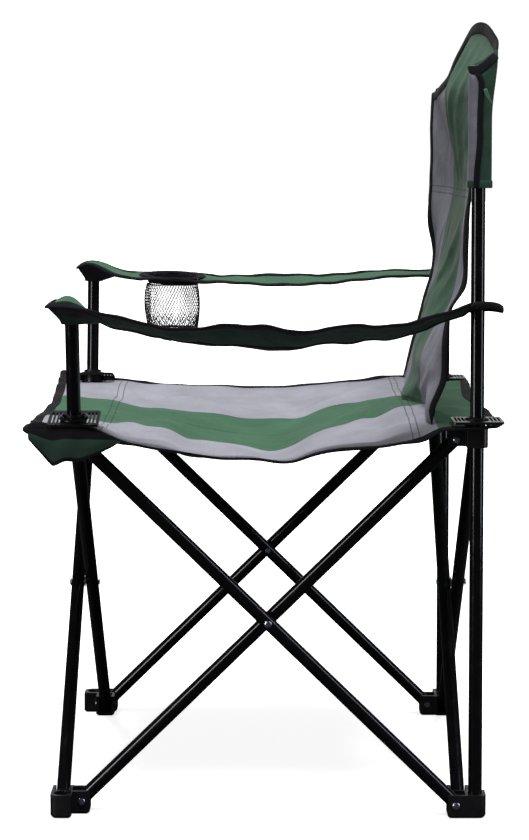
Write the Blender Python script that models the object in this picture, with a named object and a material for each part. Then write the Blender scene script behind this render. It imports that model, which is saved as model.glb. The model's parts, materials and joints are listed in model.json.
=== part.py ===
"""Folding camp chair with a quad frame: four crossing pairs of tubes between four feet and four top castings.

Frame: +Z up, the sitter looks along -Y, so +X is the sitter's left. The origin is on the floor, under the
middle. Every tube has the same length between its pivots, and the spans in X and Y are equal, so all eight
tubes lean alike at every stage of the fold. At each corner one pair works in the outer plane, through the
leg's axis, and the other in a plane set inboard by PLANE_STEP, in a pinwheel round the chair, so that no two
tubes meet.
"""

import math

import bmesh
import bpy
from mathutils import Matrix, Vector

# Frame, in metres
LEG = 0.238  # from the middle of the chair to a leg's axis, in X and in Y
PIN_INSET = 0.0225  # from a leg's axis inboard to the pivots of its tubes
PIN_LOW = 0.015
PIN_HIGH = 0.435
TUBE_R = 0.008
TUBE_WALL = 0.0009
TUBE_END = 0.0065  # tube beyond its pivot
PLANE_STEP = 0.0175  # from the outer tube plane inboard to the inner one
GAP = 0.0003  # between solids that touch in the real chair
SIDES = 18  # of a tube's polygon

# Castings
BLOCK = 0.0122  # half the width of a casting's socket block and of each fork
FORK_END = 0.032
FOOT_TOP = 0.027
TAB_TOP = 0.0315  # of the small tab behind a front foot's empty socket
TAB_HALF = 0.006
TAB_FROM, TAB_TO = 0.0089, 0.0114  # inboard of the leg's axis
SLOT_HALF = TUBE_R + 0.0004
SWING = 0.0108  # room round a pivot for the corner of the turning tube
TOP_LOW = 0.4275
TOP_HIGH = 0.4495
SOCKET_FLOOR = 0.0042
CORNER_ROUND = 0.008
BASE_CHAMFER = 0.003
BLIND = 0.0109  # how far an outer fork's pin reaches past the plane of its tube

# Pins
PIN_R = 0.0025
HEAD_R = 0.0048
HEAD_H = 0.0022
PIN_SIDES = 10
SPACER_R = 0.0068

# Uprights and arm posts
UPRIGHT_TOP = 0.845
CAP_PLUG = 0.010  # how deep a cap sits in its upright
CAP_HEIGHT = 0.005
POST_LEAN = math.radians(11.5)
POST_TOP = 0.591
BOSS_R = 0.0115
BOSS_LENGTH = 0.020
BOSS_FLOOR = 0.0035
PLATE_THICK = 0.003
PLATE_SIZE = (0.052, 0.058)  # along X and Y
PLATE_ROUND = 0.004
RIB_SLOT = (0.018, 0.0011)  # half the length and half the width of a slot between a plate's ribs
RIB_MARGIN, RIB_PITCH, RIB_SLOTS = 0.0045, 0.0042, 3  # on each side of the post
FRONT_PLATE_Z = 0.4600
REAR_PLATE_Z = 0.4575

# Fabric
CLOTH = 0.0024
SEAT_Z = 0.453
SEAT_FRONT = -0.279
SEAT_REAR = 0.270  # at the corners, behind the uprights
REAR_PULL = 0.012  # how far the rear hem is drawn forward at its middle
SEAT_HALF = 0.262
SEAT_DIP = 0.026
SIDE_SAG = {1: 0.038, -1: 0.008}  # left hem and right hem
SEAT_WAIST = 0.016  # how far each side hem is drawn in at its middle
LEVEL_X = 0.245  # where the seat's cross section has come up to its side hems
SAG_REAR = 0.185  # the seat sags no further back than this
SAG_FRONT = (0.25, 0.175)  # and no further forward, on the middle line and at the side hems
SEAT_FOLD_X = 0.222  # the line that a seat half turns about
BACK_HALF = 0.2235
BACK_BOTTOM = 0.4595
BACK_CORNER_TOP = 0.860
BACK_ARCH = 0.060
BACK_FOOT_Y = 0.187
BACK_RISE = (0.046, 0.45, 0.29)  # how far the back leans rearward, from which height, over which height
BACK_CURL = (0.030, 0.83, 0.11)  # the same for its top
BACK_BULGE = 0.012
BACK_TIGHT = (0.72, 0.05)  # the height of the taut line between the sleeves' lower ends, and its width
SLEEVE_LOW, SLEEVE_HIGH = 0.722, 0.860
SLEEVE_WALL = 0.0015
SLEEVE_X, SLEEVE_Y = (-0.0118, 0.0118), (-0.0103, 0.0200)  # from the upright's axis
SLEEVE_ROUND = 0.006
ARM_Z = 0.6005
ARM_REAR_Z = 0.588
ARM_FRONT = -0.255
ARM_REAR = 0.2285
ARM_SPLIT = 0.0895
ARM_MIDDLE_X = 0.2745
ARM_HALF = 0.036
ARM_TILT = 0.011  # how far the outer hem stands above the strap's middle
ARM_SAG = {1: 0.036, -1: 0.012}
ARM_EASE = 0.09  # the length over which the tilt comes in at each end
CUP_Y = -0.131
CUP_R = 0.036
CUP_DEPTH = 0.078
CUP_WALL = 0.002
CUP_LAP = 0.004  # how much smaller the strap's opening is than the cup

LEFT, RIGHT, FRONT, REAR = 1, -1, -1, 1
SIDE_NAME = {LEFT: "left", RIGHT: "right"}
END_NAME = {FRONT: "front", REAR: "rear"}

for old in list(bpy.data.objects):
    bpy.data.objects.remove(old)


def material(name, colour, roughness, metallic=0.0):
    made = bpy.data.materials.new(name)
    made.use_nodes = True
    shader = made.node_tree.nodes["Principled BSDF"]
    shader.inputs["Base Color"].default_value = (*colour, 1.0)
    shader.inputs["Roughness"].default_value = roughness
    shader.inputs["Metallic"].default_value = metallic
    return made


BLACK_TUBE = material("black_tube", (0.012, 0.011, 0.013), 0.22, 0.4)
BLACK_PLASTIC = material("black_plastic", (0.014, 0.014, 0.015), 0.5)
STEEL = material("steel", (0.55, 0.60, 0.68), 0.25, 1.0)
GREY_FABRIC = material("grey_fabric", (0.43, 0.43, 0.48), 0.8)
GREEN_FABRIC = material("green_fabric", (0.05, 0.17, 0.08), 0.8)
MESH_FABRIC = material("mesh_fabric", (0.02, 0.02, 0.022), 0.8)


def empty(name, at):
    """A moving body's frame, on its joint's axis."""
    made = bpy.data.objects.new(name, None)
    made.empty_display_size = 0.02
    made.location = at
    bpy.context.scene.collection.objects.link(made)
    return made


def add(name, mesh, at, body, finish, turn=None):
    """One sub-part, placed at a world point and parented to its body's empty."""
    made = bpy.data.objects.new(name, mesh)
    bpy.context.scene.collection.objects.link(made)
    made.parent = body
    made.location = Vector(at) - (body.location if body else Vector())
    if turn:
        made.rotation_mode = "QUATERNION"
        made.rotation_quaternion = turn
    mesh.materials.append(finish)
    mesh.shade_smooth()
    mesh.set_sharp_from_angle(angle=math.radians(40))
    return made


def mesh_from(name, points, faces):
    mesh = bpy.data.meshes.new(name)
    build = bmesh.new()
    verts = [build.verts.new(p) for p in points]
    for face in faces:
        build.faces.new([verts[i] for i in face])
    bmesh.ops.recalc_face_normals(build, faces=build.faces)
    build.to_mesh(mesh)
    build.free()
    return mesh


def lathe(name, profile, sides):
    """A solid turned about Z from (radius, z) points that start and end on the axis, or from a closed ring."""
    points, rows = [], []
    for radius, z in profile:
        if radius == 0:
            rows.append([len(points)] * sides)
            points.append((0, 0, z))
            continue
        rows.append([len(points) + k for k in range(sides)])
        for k in range(sides):
            angle = 2 * math.pi * (k + 0.5) / sides
            points.append((radius * math.cos(angle), radius * math.sin(angle), z))
    ring = profile[0][0] != 0
    pairs = list(zip(rows, rows[1:])) + ([(rows[-1], rows[0])] if ring else [])
    faces = []
    for low, high in pairs:
        for k in range(sides):
            n = (k + 1) % sides
            face = [low[k], low[n], high[n], high[k]]
            faces.append(list(dict.fromkeys(face)))
    return mesh_from(name, points, faces)


def along(direction):
    """The turn that takes +Z to a direction."""
    return Vector((0, 0, 1)).rotation_difference(Vector(direction).normalized())


def outer_radius(radius, sides):
    """The corner radius of a polygon whose flats clear a round of this radius by GAP."""
    return (radius + GAP) / math.cos(math.pi / sides)


def combine(target, tool, operation):
    tool.hide_render = True
    tool.display_type = "WIRE"
    step = target.modifiers.new(operation.lower(), "BOOLEAN")
    step.operation = operation
    step.solver = "EXACT"
    step.object = tool


def cut(target, cutter):
    combine(target, cutter, "DIFFERENCE")


def join(target, extra):
    combine(target, extra, "UNION")


def rod_cutter(name, middle, direction, radius, length, sides, body):
    """A solid round cutter, centred on a world point."""
    mesh = lathe(name, [(0, -length / 2), (radius, -length / 2), (radius, length / 2), (0, length / 2)], sides)
    return add(name, mesh, middle, body, BLACK_PLASTIC, along(direction))


def box_mesh(name, low, high):
    points = [(x, y, z) for x in (low[0], high[0]) for y in (low[1], high[1]) for z in (low[2], high[2])]
    faces = [(0, 1, 3, 2), (4, 6, 7, 5), (0, 4, 5, 1), (2, 3, 7, 6), (0, 2, 6, 4), (1, 5, 7, 3)]
    return mesh_from(name, points, faces)


def tube(name, start, end, body):
    """An open steel tube between two world points, with its origin at the first."""
    length = (Vector(end) - Vector(start)).length
    inside = TUBE_R - TUBE_WALL
    mesh = lathe(name, [(TUBE_R, 0), (TUBE_R, length), (inside, length), (inside, 0)], SIDES)
    return add(name, mesh, start, body, BLACK_TUBE, along(Vector(end) - Vector(start)))


def rivet(name, under_head, direction, grip, body, tail=True):
    """A domed rivet whose shaft runs along direction from under its head, with a rolled ring at its tail."""
    profile = [
        (0, -HEAD_H),
        (HEAD_R * 0.45, -HEAD_H * 0.93),
        (HEAD_R * 0.8, -HEAD_H * 0.62),
        (HEAD_R, -HEAD_H * 0.15),
        (HEAD_R, 0),
        (PIN_R, 0),
        (PIN_R, grip),
    ]
    if tail:
        profile += [(PIN_R * 1.45, grip), (PIN_R * 1.45, grip + 0.001), (PIN_R, grip + 0.0014)]
        profile += [(PIN_R * 0.55, grip + 0.0010)]
        profile += [(0, grip + 0.0008)]
    else:
        profile += [(0, grip)]
    return add(name, lathe(name, profile, PIN_SIDES), under_head, body, STEEL, along(direction))


class Corner:
    """One corner of the chair. u runs inboard along X and v inboard along Y, both from the leg's axis."""

    def __init__(self, side, end, side_fork_inner):
        self.side, self.end = side, end
        self.name = f"{END_NAME[end]}_{SIDE_NAME[side]}"
        self.offset = {
            "side": PLANE_STEP if side_fork_inner else 0.0,
            "cross": 0.0 if side_fork_inner else PLANE_STEP,
        }

    def at(self, u, v, z):
        return Vector((self.side * (LEG - u), self.end * (LEG - v), z))

    def pin(self, fork, z):
        """The pivot of the tube in a fork, on the tube's own axis."""
        off = self.offset[fork]
        return self.at(off, PIN_INSET, z) if fork == "side" else self.at(PIN_INSET, off, z)

    def box(self, name, u, v, z, body):
        a, b = self.at(u[0], v[0], z[0]), self.at(u[1], v[1], z[1])
        low = [min(p, q) for p, q in zip(a, b)]
        high = [max(p, q) for p, q in zip(a, b)]
        home = body.location if body else Vector()
        mesh = box_mesh(name, Vector(low) - home, Vector(high) - home)
        return add(name, mesh, home, body, BLACK_PLASTIC)


def casting_mesh(name, corner, low, high, origin, foot):
    """The L-shaped block of a casting: a socket block with one fork along X and one along Y."""
    inner = PLANE_STEP
    outline = [
        (-BLOCK, -BLOCK),
        (FORK_END, -BLOCK),
        (FORK_END, BLOCK),
        (inner + BLOCK, BLOCK),
        (inner + BLOCK, FORK_END),
        (inner - BLOCK, FORK_END),
        (inner - BLOCK, BLOCK),
        (-BLOCK, BLOCK),
    ]
    if corner.offset["side"] == 0:
        outline = [(v, u) for u, v in outline]
    count = len(outline)
    points = [corner.at(u, v, z) - origin for z in (low, high) for u, v in outline]
    faces = [list(range(count)), list(range(count, 2 * count))]
    faces += [[k, (k + 1) % count, (k + 1) % count + count, k + count] for k in range(count)]
    mesh = mesh_from(name, points, faces)
    build = bmesh.new()
    build.from_mesh(mesh)
    outer = corner.at(-BLOCK, -BLOCK, 0) - origin
    upright = [e for e in build.edges if abs(e.verts[0].co.z - e.verts[1].co.z) > 0.001]
    rounded = [e for e in upright if (e.verts[0].co.xy - outer.xy).length < 1e-5]
    bmesh.ops.bevel(build, geom=rounded, offset=CORNER_ROUND, segments=4, profile=0.5, affect="EDGES")
    if foot:
        base = [e for e in build.edges if all(abs(v.co.z + origin.z - low) < 1e-6 for v in e.verts)]
        bmesh.ops.bevel(build, geom=base, offset=BASE_CHAMFER, segments=1, profile=0.5, affect="EDGES")
    bmesh.ops.recalc_face_normals(build, faces=build.faces)
    build.to_mesh(mesh)
    build.free()
    return mesh


def casting(corner, name, body, top):
    """A foot, or a bracket or slider at the top, with its slots and pin holes cut."""
    z_pin, low, high = (PIN_HIGH, TOP_LOW, TOP_HIGH) if top else (PIN_LOW, 0.0, FOOT_TOP)
    mesh = casting_mesh(name, corner, low, high, body.location, not top)
    made = add(name, mesh, body.location, body, BLACK_PLASTIC)
    slot_z = (low - 0.01, z_pin + SWING) if top else (z_pin - SWING, high + 0.01)
    start, past = PIN_INSET - SWING, FORK_END + 0.01
    for fork in ("side", "cross"):
        off = corner.offset[fork]
        across, run = (off - SLOT_HALF, off + SLOT_HALF), (start, past)
        u, v = (across, run) if fork == "side" else (run, across)
        cut(made, corner.box(f"{name}_{fork}_slot", u, v, slot_z, body))
        reach = BLOCK + 0.002
        inboard = reach if off else BLIND + GAP
        middle = off + (inboard - reach) / 2
        at = corner.at(middle, PIN_INSET, z_pin) if fork == "side" else corner.at(PIN_INSET, middle, z_pin)
        axis = (1, 0, 0) if fork == "side" else (0, 1, 0)
        radius = outer_radius(PIN_R, PIN_SIDES)
        hole = rod_cutter(f"{name}_{fork}_hole", at, axis, radius, inboard + reach, PIN_SIDES, body)
        cut(made, hole)
    return made


def pins(corner, name, body, z_pin):
    """The two rivets of a casting. A fork in the outer plane has a blind pin: the other fork lies behind it."""
    for fork in ("side", "cross"):
        off = corner.offset[fork]
        face = off - BLOCK - GAP
        if fork == "side":
            head, axis = corner.at(face, PIN_INSET, z_pin), (-corner.side, 0, 0)
        else:
            head, axis = corner.at(PIN_INSET, face, z_pin), (0, -corner.end, 0)
        grip = 2 * (BLOCK + GAP) if off else BLOCK + GAP + BLIND
        rivet(f"{name}_{fork}_pin", head, axis, grip, body, tail=bool(off))


def drilled_tube(name, low, high, fork, body):
    """A tube between two pivots, drilled for both pins and for the rivet where it crosses its partner."""
    low, high = Vector(low), Vector(high)
    step = (high - low).normalized() * TUBE_END
    made = tube(name, low - step, high + step, body)
    axis = (1, 0, 0) if fork == "side" else (0, 1, 0)
    radius = outer_radius(PIN_R, PIN_SIDES)
    for spot, at in (("low", low), ("middle", (low + high) / 2), ("high", high)):
        cut(made, rod_cutter(f"{name}_{spot}_hole", at, axis, radius, 4 * TUBE_R, PIN_SIDES, body))
    return made


def crossing(name, outer_middle, inboard, body, spacer_body):
    """The rivet of a crossing pair, and the spacer washer between its tubes."""
    inboard = Vector(inboard)
    head = Vector(outer_middle) - inboard * (TUBE_R + GAP)
    grip = PLANE_STEP + 2 * (TUBE_R + GAP)
    rivet(f"{name}_rivet", head, inboard, grip, body)
    room = PLANE_STEP - 2 * TUBE_R
    thick = room - 2 * GAP
    bore = outer_radius(PIN_R, PIN_SIDES)
    ring = [(SPACER_R, -thick / 2), (SPACER_R, thick / 2), (bore, thick / 2), (bore, -thick / 2)]
    at = Vector(outer_middle) + inboard * (PLANE_STEP / 2)
    washer = lathe(f"{name}_spacer", ring, PIN_SIDES + 4)
    add(f"{name}_spacer", washer, at, spacer_body, STEEL, along(inboard))


def grid_solid(name, columns, rows, surface, thickness):
    """A closed sheet: surface(s, t) gives its top point for s and t from 0 to 1.

    thickness is the vector from the top to the underside.
    """
    top = [Vector(surface(i / columns, j / rows)) for j in range(rows + 1) for i in range(columns + 1)]
    under = [p + Vector(thickness) for p in top]
    count, width = len(top), columns + 1
    faces = []
    for j in range(rows):
        for i in range(columns):
            a = j * width + i
            faces.append([a, a + 1, a + width + 1, a + width])
            faces.append([count + a, count + a + width, count + a + width + 1, count + a + 1])
    rim = [i for i in range(columns)] + [columns + j * width for j in range(rows)]
    rim += [rows * width + columns - i for i in range(columns)] + [(rows - j) * width for j in range(rows)]
    for a, b in zip(rim, rim[1:] + rim[:1]):
        faces.append([a, b, count + b, count + a])
    return mesh_from(name, top + under, faces)


def smooth_step(t):
    t = min(max(t, 0.0), 1.0)
    return t * t * (3 - 2 * t)


def seat_height(x, y):
    """The seat's upper face: level over the castings, sagging between them, and most at its left hem."""
    t = min(abs(x) / LEVEL_X, 1.0)
    signed = max(-1.0, min(x / LEVEL_X, 1.0))
    half = SAG_REAR if y > 0 else SAG_FRONT[0] + (SAG_FRONT[1] - SAG_FRONT[0]) * t * t
    bow = max(0.0, 1 - (y / half) ** 2)
    sag = SIDE_SAG[RIGHT] + (SIDE_SAG[LEFT] - SIDE_SAG[RIGHT]) * (signed + 1) / 2
    return SEAT_Z - (sag + SEAT_DIP * (1 - t * t)) * bow


def seat_surface(side):
    """Half of the seat, from the middle (s = 0) to the side hem, and from front (t = 0) to rear."""

    def point(s, t):
        x = s * (SEAT_HALF - SEAT_WAIST * math.sin(math.pi * t) ** 2)
        rear = SEAT_REAR - REAR_PULL * (1 - (x / SEAT_HALF) ** 2)
        y = SEAT_FRONT + t * (rear - SEAT_FRONT)
        x = max(x, 0.0006) * side
        return x, y, seat_height(x, y)

    return point


def back_surface(s, t):
    """The back's front face, from the sitter's right (s = 0) to the left, and from the bottom (t = 0) up."""
    x = (2 * s - 1) * BACK_HALF
    bend = 1 - (x / BACK_HALF) ** 2
    z = BACK_BOTTOM + t * (BACK_CORNER_TOP + BACK_ARCH * bend - BACK_BOTTOM)
    hem = BACK_FOOT_Y
    for reach, start, length in (BACK_RISE, BACK_CURL):
        hem += reach * smooth_step((z - start) / length)
    taut_z, taut_width = BACK_TIGHT
    bulge = BACK_BULGE * bend * (1 - 0.8 * math.exp(-(((z - taut_z) / taut_width) ** 2)))
    return x, hem - bulge, z


def arm_height(side, post_y, y):
    """The middle line of an arm strap, which hangs between its post and the upright."""
    t = min(max((y - post_y) / (ARM_REAR - post_y), 0.0), 1.0)
    return ARM_Z + (ARM_REAR_Z - ARM_Z) * t - ARM_SAG[side] * 4 * t * (1 - t)


def arm_surface(side, post_y, y_from, y_to):
    """A stretch of an arm strap, from its inner hem (s = 0) to its outer one, and from y_from to y_to."""

    def point(s, t):
        y = y_from + t * (y_to - y_from)
        x = ARM_MIDDLE_X + (2 * s - 1) * ARM_HALF
        end = smooth_step((y - ARM_FRONT) / ARM_EASE) * smooth_step((ARM_REAR + 0.02 - y) / ARM_EASE)
        return side * x, y, arm_height(side, post_y, y) + ARM_TILT * (2 * s - 1) * end

    return point


def plate(name, body, middle, lean):
    """The slotted plate that clamps a corner of the seat round its post, with a hole for the post."""
    half_x, half_y = PLATE_SIZE[0] / 2, PLATE_SIZE[1] / 2
    mesh = box_mesh(name, (-half_x, -half_y, -PLATE_THICK / 2), (half_x, half_y, PLATE_THICK / 2))
    build = bmesh.new()
    build.from_mesh(mesh)
    upright = [e for e in build.edges if abs(e.verts[0].co.z - e.verts[1].co.z) > 0.001]
    bmesh.ops.bevel(build, geom=upright, offset=PLATE_ROUND, segments=3, profile=0.5, affect="EDGES")
    build.to_mesh(mesh)
    build.free()
    turn = along((math.sin(lean), 0, math.cos(lean)))
    made = add(name, mesh, middle, body, BLACK_PLASTIC, turn)
    axis = turn @ Vector((0, 0, 1))
    through = (BOSS_R if lean else TUBE_R) + 2 * GAP
    cut(made, rod_cutter(f"{name}_post_hole", middle, axis, outer_radius(through, SIDES), 0.03, SIDES, body))
    long, wide = RIB_SLOT
    for row in (-1, 1):
        for k in range(RIB_SLOTS):
            y = row * (half_y - RIB_MARGIN - RIB_PITCH * k)
            slot = box_mesh(f"{name}_slot", (-long, y - wide, -0.01), (long, y + wide, 0.01))
            cut(made, add(f"{name}_slot_{row}_{k}", slot, middle, body, BLACK_PLASTIC, turn))
    return made


# Corners of the feet and of the top castings. The pinwheel puts one outer and one inner tube at each.
FEET = {
    (LEFT, FRONT): Corner(LEFT, FRONT, True),
    (LEFT, REAR): Corner(LEFT, REAR, False),
    (RIGHT, REAR): Corner(RIGHT, REAR, True),
    (RIGHT, FRONT): Corner(RIGHT, FRONT, False),
}
TOPS = {
    (LEFT, FRONT): Corner(LEFT, FRONT, False),
    (LEFT, REAR): Corner(LEFT, REAR, True),
    (RIGHT, REAR): Corner(RIGHT, REAR, False),
    (RIGHT, FRONT): Corner(RIGHT, FRONT, True),
}

# Each tube: its name, the corner of its foot, the corner of its top casting, and the fork it turns in
TUBES = (
    ("left_outer_tube", (LEFT, REAR), (LEFT, FRONT), "side"),
    ("left_inner_tube", (LEFT, FRONT), (LEFT, REAR), "side"),
    ("right_outer_tube", (RIGHT, FRONT), (RIGHT, REAR), "side"),
    ("right_inner_tube", (RIGHT, REAR), (RIGHT, FRONT), "side"),
    ("front_outer_tube", (LEFT, FRONT), (RIGHT, FRONT), "cross"),
    ("front_inner_tube", (RIGHT, FRONT), (LEFT, FRONT), "cross"),
    ("rear_outer_tube", (RIGHT, REAR), (LEFT, REAR), "cross"),
    ("rear_inner_tube", (LEFT, REAR), (RIGHT, REAR), "cross"),
)


def make_tubes():
    """All eight tubes. A body's empty stands on the joint that carries it: a foot's pivot, or the crossing."""
    carried_by_foot = {"left_outer_tube", "right_inner_tube", "front_outer_tube", "rear_inner_tube"}
    bodies = {}
    for name, foot, top, fork in TUBES:
        low, high = FEET[foot].pin(fork, PIN_LOW), TOPS[top].pin(fork, PIN_HIGH)
        joint = low if name in carried_by_foot else (low + high) / 2
        bodies[name] = empty(f"{name}_body", joint)
        drilled_tube(name, low, high, fork, bodies[name])
    return bodies


def make_crossings(bodies):
    middle_z = (PIN_LOW + PIN_HIGH) / 2
    for side in (LEFT, RIGHT):
        name = SIDE_NAME[side]
        outer = bodies[f"{name}_outer_tube"]
        crossing(name, (side * LEG, 0, middle_z), (-side, 0, 0), outer, outer)
    for end in (FRONT, REAR):
        name = END_NAME[end]
        outer = bodies[f"{name}_outer_tube"]
        crossing(name, (0, end * LEG, middle_z), (0, -end, 0), outer, outer)


def make_feet():
    bodies = {}
    for key, corner in FEET.items():
        name = f"{corner.name}_foot"
        body = bodies[key] = empty(f"{name}_body", corner.at(0, 0, 0))
        made = casting(corner, name, body, top=False)
        socket = rod_cutter(
            f"{name}_socket",
            corner.at(0, 0, SOCKET_FLOOR + FOOT_TOP / 2),
            (0, 0, 1),
            outer_radius(TUBE_R, SIDES),
            FOOT_TOP,
            SIDES,
            body,
        )
        cut(made, socket)
        if corner.end == FRONT:
            height = (FOOT_TOP - 0.001, TAB_TOP)
            tab = corner.box(f"{name}_tab", (-TAB_HALF, TAB_HALF), (TAB_FROM, TAB_TO), height, body)
            join(made, tab)
        pins(corner, name, body, PIN_LOW)
    return bodies


def make_uprights(feet):
    for side in (LEFT, RIGHT):
        corner, body = FEET[(side, REAR)], feet[(side, REAR)]
        name = f"{SIDE_NAME[side]}_upright"
        tube(name, corner.at(0, 0, SOCKET_FLOOR + GAP), corner.at(0, 0, UPRIGHT_TOP), body)
        inside = TUBE_R - TUBE_WALL - GAP
        cap = [
            (0, -CAP_PLUG),
            (inside, -CAP_PLUG),
            (inside, GAP),
            (TUBE_R, GAP),
            (TUBE_R, CAP_HEIGHT * 0.5),
            (TUBE_R * 0.8, CAP_HEIGHT * 0.84),
            (0, CAP_HEIGHT),
        ]
        cap_mesh = lathe(f"{name}_cap", cap, SIDES)
        add(f"{name}_cap", cap_mesh, corner.at(0, 0, UPRIGHT_TOP), body, BLACK_PLASTIC)


def make_sliders():
    """The two rear castings, which slide up the uprights as the chair folds, each with its seat plate."""
    bodies = {}
    for side in (LEFT, RIGHT):
        corner = TOPS[(side, REAR)]
        name = f"{corner.name}_slider"
        body = bodies[(side, REAR)] = empty(f"{name}_body", corner.at(0, 0, PIN_HIGH))
        made = casting(corner, name, body, top=True)
        bore = outer_radius(TUBE_R, SIDES)
        middle = corner.at(0, 0, PIN_HIGH)
        cut(made, rod_cutter(f"{name}_bore", middle, (0, 0, 1), bore, 0.06, SIDES, body))
        pins(corner, name, body, PIN_HIGH)
        plate(f"{corner.name}_plate", body, corner.at(0, 0, REAR_PLATE_Z), 0.0)
    return bodies


def make_brackets():
    """The two front castings, each with a leaning boss that holds an arm post, and its seat plate."""
    bodies = {}
    for side in (LEFT, RIGHT):
        corner = TOPS[(side, FRONT)]
        name = f"{corner.name}_bracket"
        body = bodies[(side, FRONT)] = empty(f"{name}_body", corner.at(0, 0, PIN_HIGH))
        made = casting(corner, name, body, top=True)
        lean = side * POST_LEAN
        axis = Vector((math.sin(lean), 0, math.cos(lean)))
        foot = corner.at(0, corner.offset["cross"], TOP_HIGH - 0.002)
        boss_mesh = lathe(f"{name}_boss", [(0, 0), (BOSS_R, 0), (BOSS_R, BOSS_LENGTH), (0, BOSS_LENGTH)], SIDES)
        boss = add(f"{name}_boss", boss_mesh, foot, body, BLACK_PLASTIC, along(axis))
        join(made, boss)
        bore_from = foot + axis * BOSS_FLOOR
        middle = bore_from + axis * 0.02
        cut(made, rod_cutter(f"{name}_bore", middle, axis, outer_radius(TUBE_R, SIDES), 0.04, SIDES, body))
        pins(corner, name, body, PIN_HIGH)
        start = bore_from + axis * GAP
        rise = (POST_TOP - start.z) / axis.z
        tube(f"{SIDE_NAME[side]}_arm_post", start, start + axis * rise, body)
        on_axis = foot + axis * ((FRONT_PLATE_Z - foot.z) / axis.z)
        plate(f"{corner.name}_plate", body, on_axis, lean)
    return bodies


def make_seat():
    """Two halves that hang from the side hems when the chair is folded, cut clear of the posts and uprights."""
    for side in (LEFT, RIGHT):
        name = f"seat_{SIDE_NAME[side]}"
        body = empty(f"{name}_body", (side * SEAT_FOLD_X, 0, SEAT_Z))
        mesh = grid_solid(name, 9, 20, seat_surface(side), (0, 0, -CLOTH))
        mesh.transform(Matrix.Translation(-body.location))
        made = add(name, mesh, body.location, body, GREY_FABRIC)
        front, rear = TOPS[(side, FRONT)], TOPS[(side, REAR)]
        post = front.at(0, front.offset["cross"], SEAT_Z)
        hole = outer_radius(BOSS_R + 0.0025, SIDES)
        cut(made, rod_cutter(f"{name}_post_hole", post, (0, 0, 1), hole, 0.03, SIDES, body))
        clear = outer_radius(TUBE_R + 0.0015, SIDES)
        upright = rear.at(0, 0, SEAT_Z)
        cut(made, rod_cutter(f"{name}_upright_hole", upright, (0, 0, 1), clear, 0.03, SIDES, body))


def make_back(root):
    """The back panel, which is sewn to the sleeves."""
    mesh = grid_solid("back", 9, 12, back_surface, (0, CLOTH, 0))
    mesh.transform(Matrix.Translation(-root.location))
    add("back", mesh, root.location, root, GREY_FABRIC)


def sleeve(side, body):
    """A sleeve sewn behind the back panel: open below, closed above, with room for the upright and its cap."""
    name = f"{SIDE_NAME[side]}_sleeve"
    x, y, wall = SLEEVE_X, SLEEVE_Y, SLEEVE_WALL
    home = FEET[(side, REAR)].at(0, 0, 0)
    mesh = box_mesh(name, (x[0], y[0], SLEEVE_LOW), (x[1], y[1], SLEEVE_HIGH))
    build = bmesh.new()
    build.from_mesh(mesh)
    upright = [e for e in build.edges if abs(e.verts[0].co.z - e.verts[1].co.z) > 0.001]
    bmesh.ops.bevel(build, geom=upright, offset=SLEEVE_ROUND, segments=3, profile=0.5, affect="EDGES")
    build.to_mesh(mesh)
    build.free()
    made = add(name, mesh, home, body, GREEN_FABRIC)
    inner_low = (x[0] + wall, y[0] + wall, SLEEVE_LOW - 0.01)
    inner_high = (x[1] - wall, y[1] - wall, SLEEVE_HIGH - wall)
    inside = box_mesh(f"{name}_inside", inner_low, inner_high)
    cut(made, add(f"{name}_inside", inside, home, body, GREEN_FABRIC))


def make_arms():
    """Each arm strap in two lengths that fold into a V, and the mesh cup holder under the sitter's right arm."""
    for side in (LEFT, RIGHT):
        label = SIDE_NAME[side]
        corner = TOPS[(side, FRONT)]
        post_y = corner.at(0, corner.offset["cross"], 0).y
        front = empty(f"{label}_arm_front_body", (side * ARM_MIDDLE_X, post_y, ARM_Z))
        split = (side * ARM_MIDDLE_X, ARM_SPLIT, arm_height(side, post_y, ARM_SPLIT))
        rear = empty(f"{label}_arm_rear_body", split)
        stretches = (
            (f"{label}_arm_front", front, ARM_FRONT, ARM_SPLIT - GAP, 16),
            (f"{label}_arm_rear", rear, ARM_SPLIT + GAP, ARM_REAR, 7),
        )
        for name, body, y_from, y_to, rows in stretches:
            mesh = grid_solid(name, 4, rows, arm_surface(side, post_y, y_from, y_to), (0, 0, CLOTH))
            mesh.transform(Matrix.Translation(-body.location))
            made = add(name, mesh, body.location, body, GREEN_FABRIC)
            if side == RIGHT and body is front:
                at = (side * ARM_MIDDLE_X, CUP_Y, ARM_Z)
                cut(made, rod_cutter("cup_opening", at, (0, 0, 1), CUP_R - CUP_LAP, 0.1, 24, body))
                make_cup(body, post_y)


def make_cup(body, post_y):
    """An open cup of netting that hangs from the strap's opening."""
    top = arm_height(RIGHT, post_y, CUP_Y) - ARM_TILT - 0.0012
    low = top - CUP_DEPTH
    wall = CUP_WALL
    profile = [
        (0, low),
        (CUP_R * 0.62, low),
        (CUP_R * 0.86, low + 0.012),
        (CUP_R, low + 0.035),
        (CUP_R, top),
        (CUP_R - wall, top),
        (CUP_R - wall, low + 0.035),
        (CUP_R * 0.86 - wall, low + 0.0135),
        (CUP_R * 0.62 - wall, low + wall),
        (0, low + wall),
    ]
    mesh = lathe("cup_holder", profile, 24)
    home = Vector((RIGHT * ARM_MIDDLE_X, CUP_Y, 0))
    add("cup_holder", mesh, home, body, MESH_FABRIC)


tube_bodies = make_tubes()
make_crossings(tube_bodies)
foot_bodies = make_feet()
make_uprights(foot_bodies)
make_sliders()
make_brackets()
make_seat()
make_back(foot_bodies[(LEFT, REAR)])
for chair_side in (LEFT, RIGHT):
    sleeve(chair_side, foot_bodies[(chair_side, REAR)])
make_arms()
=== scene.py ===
"""The looks of a folding camp chair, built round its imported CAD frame. Metres, +Z up, the sitter looks along -Y."""

import json
import math

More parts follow.
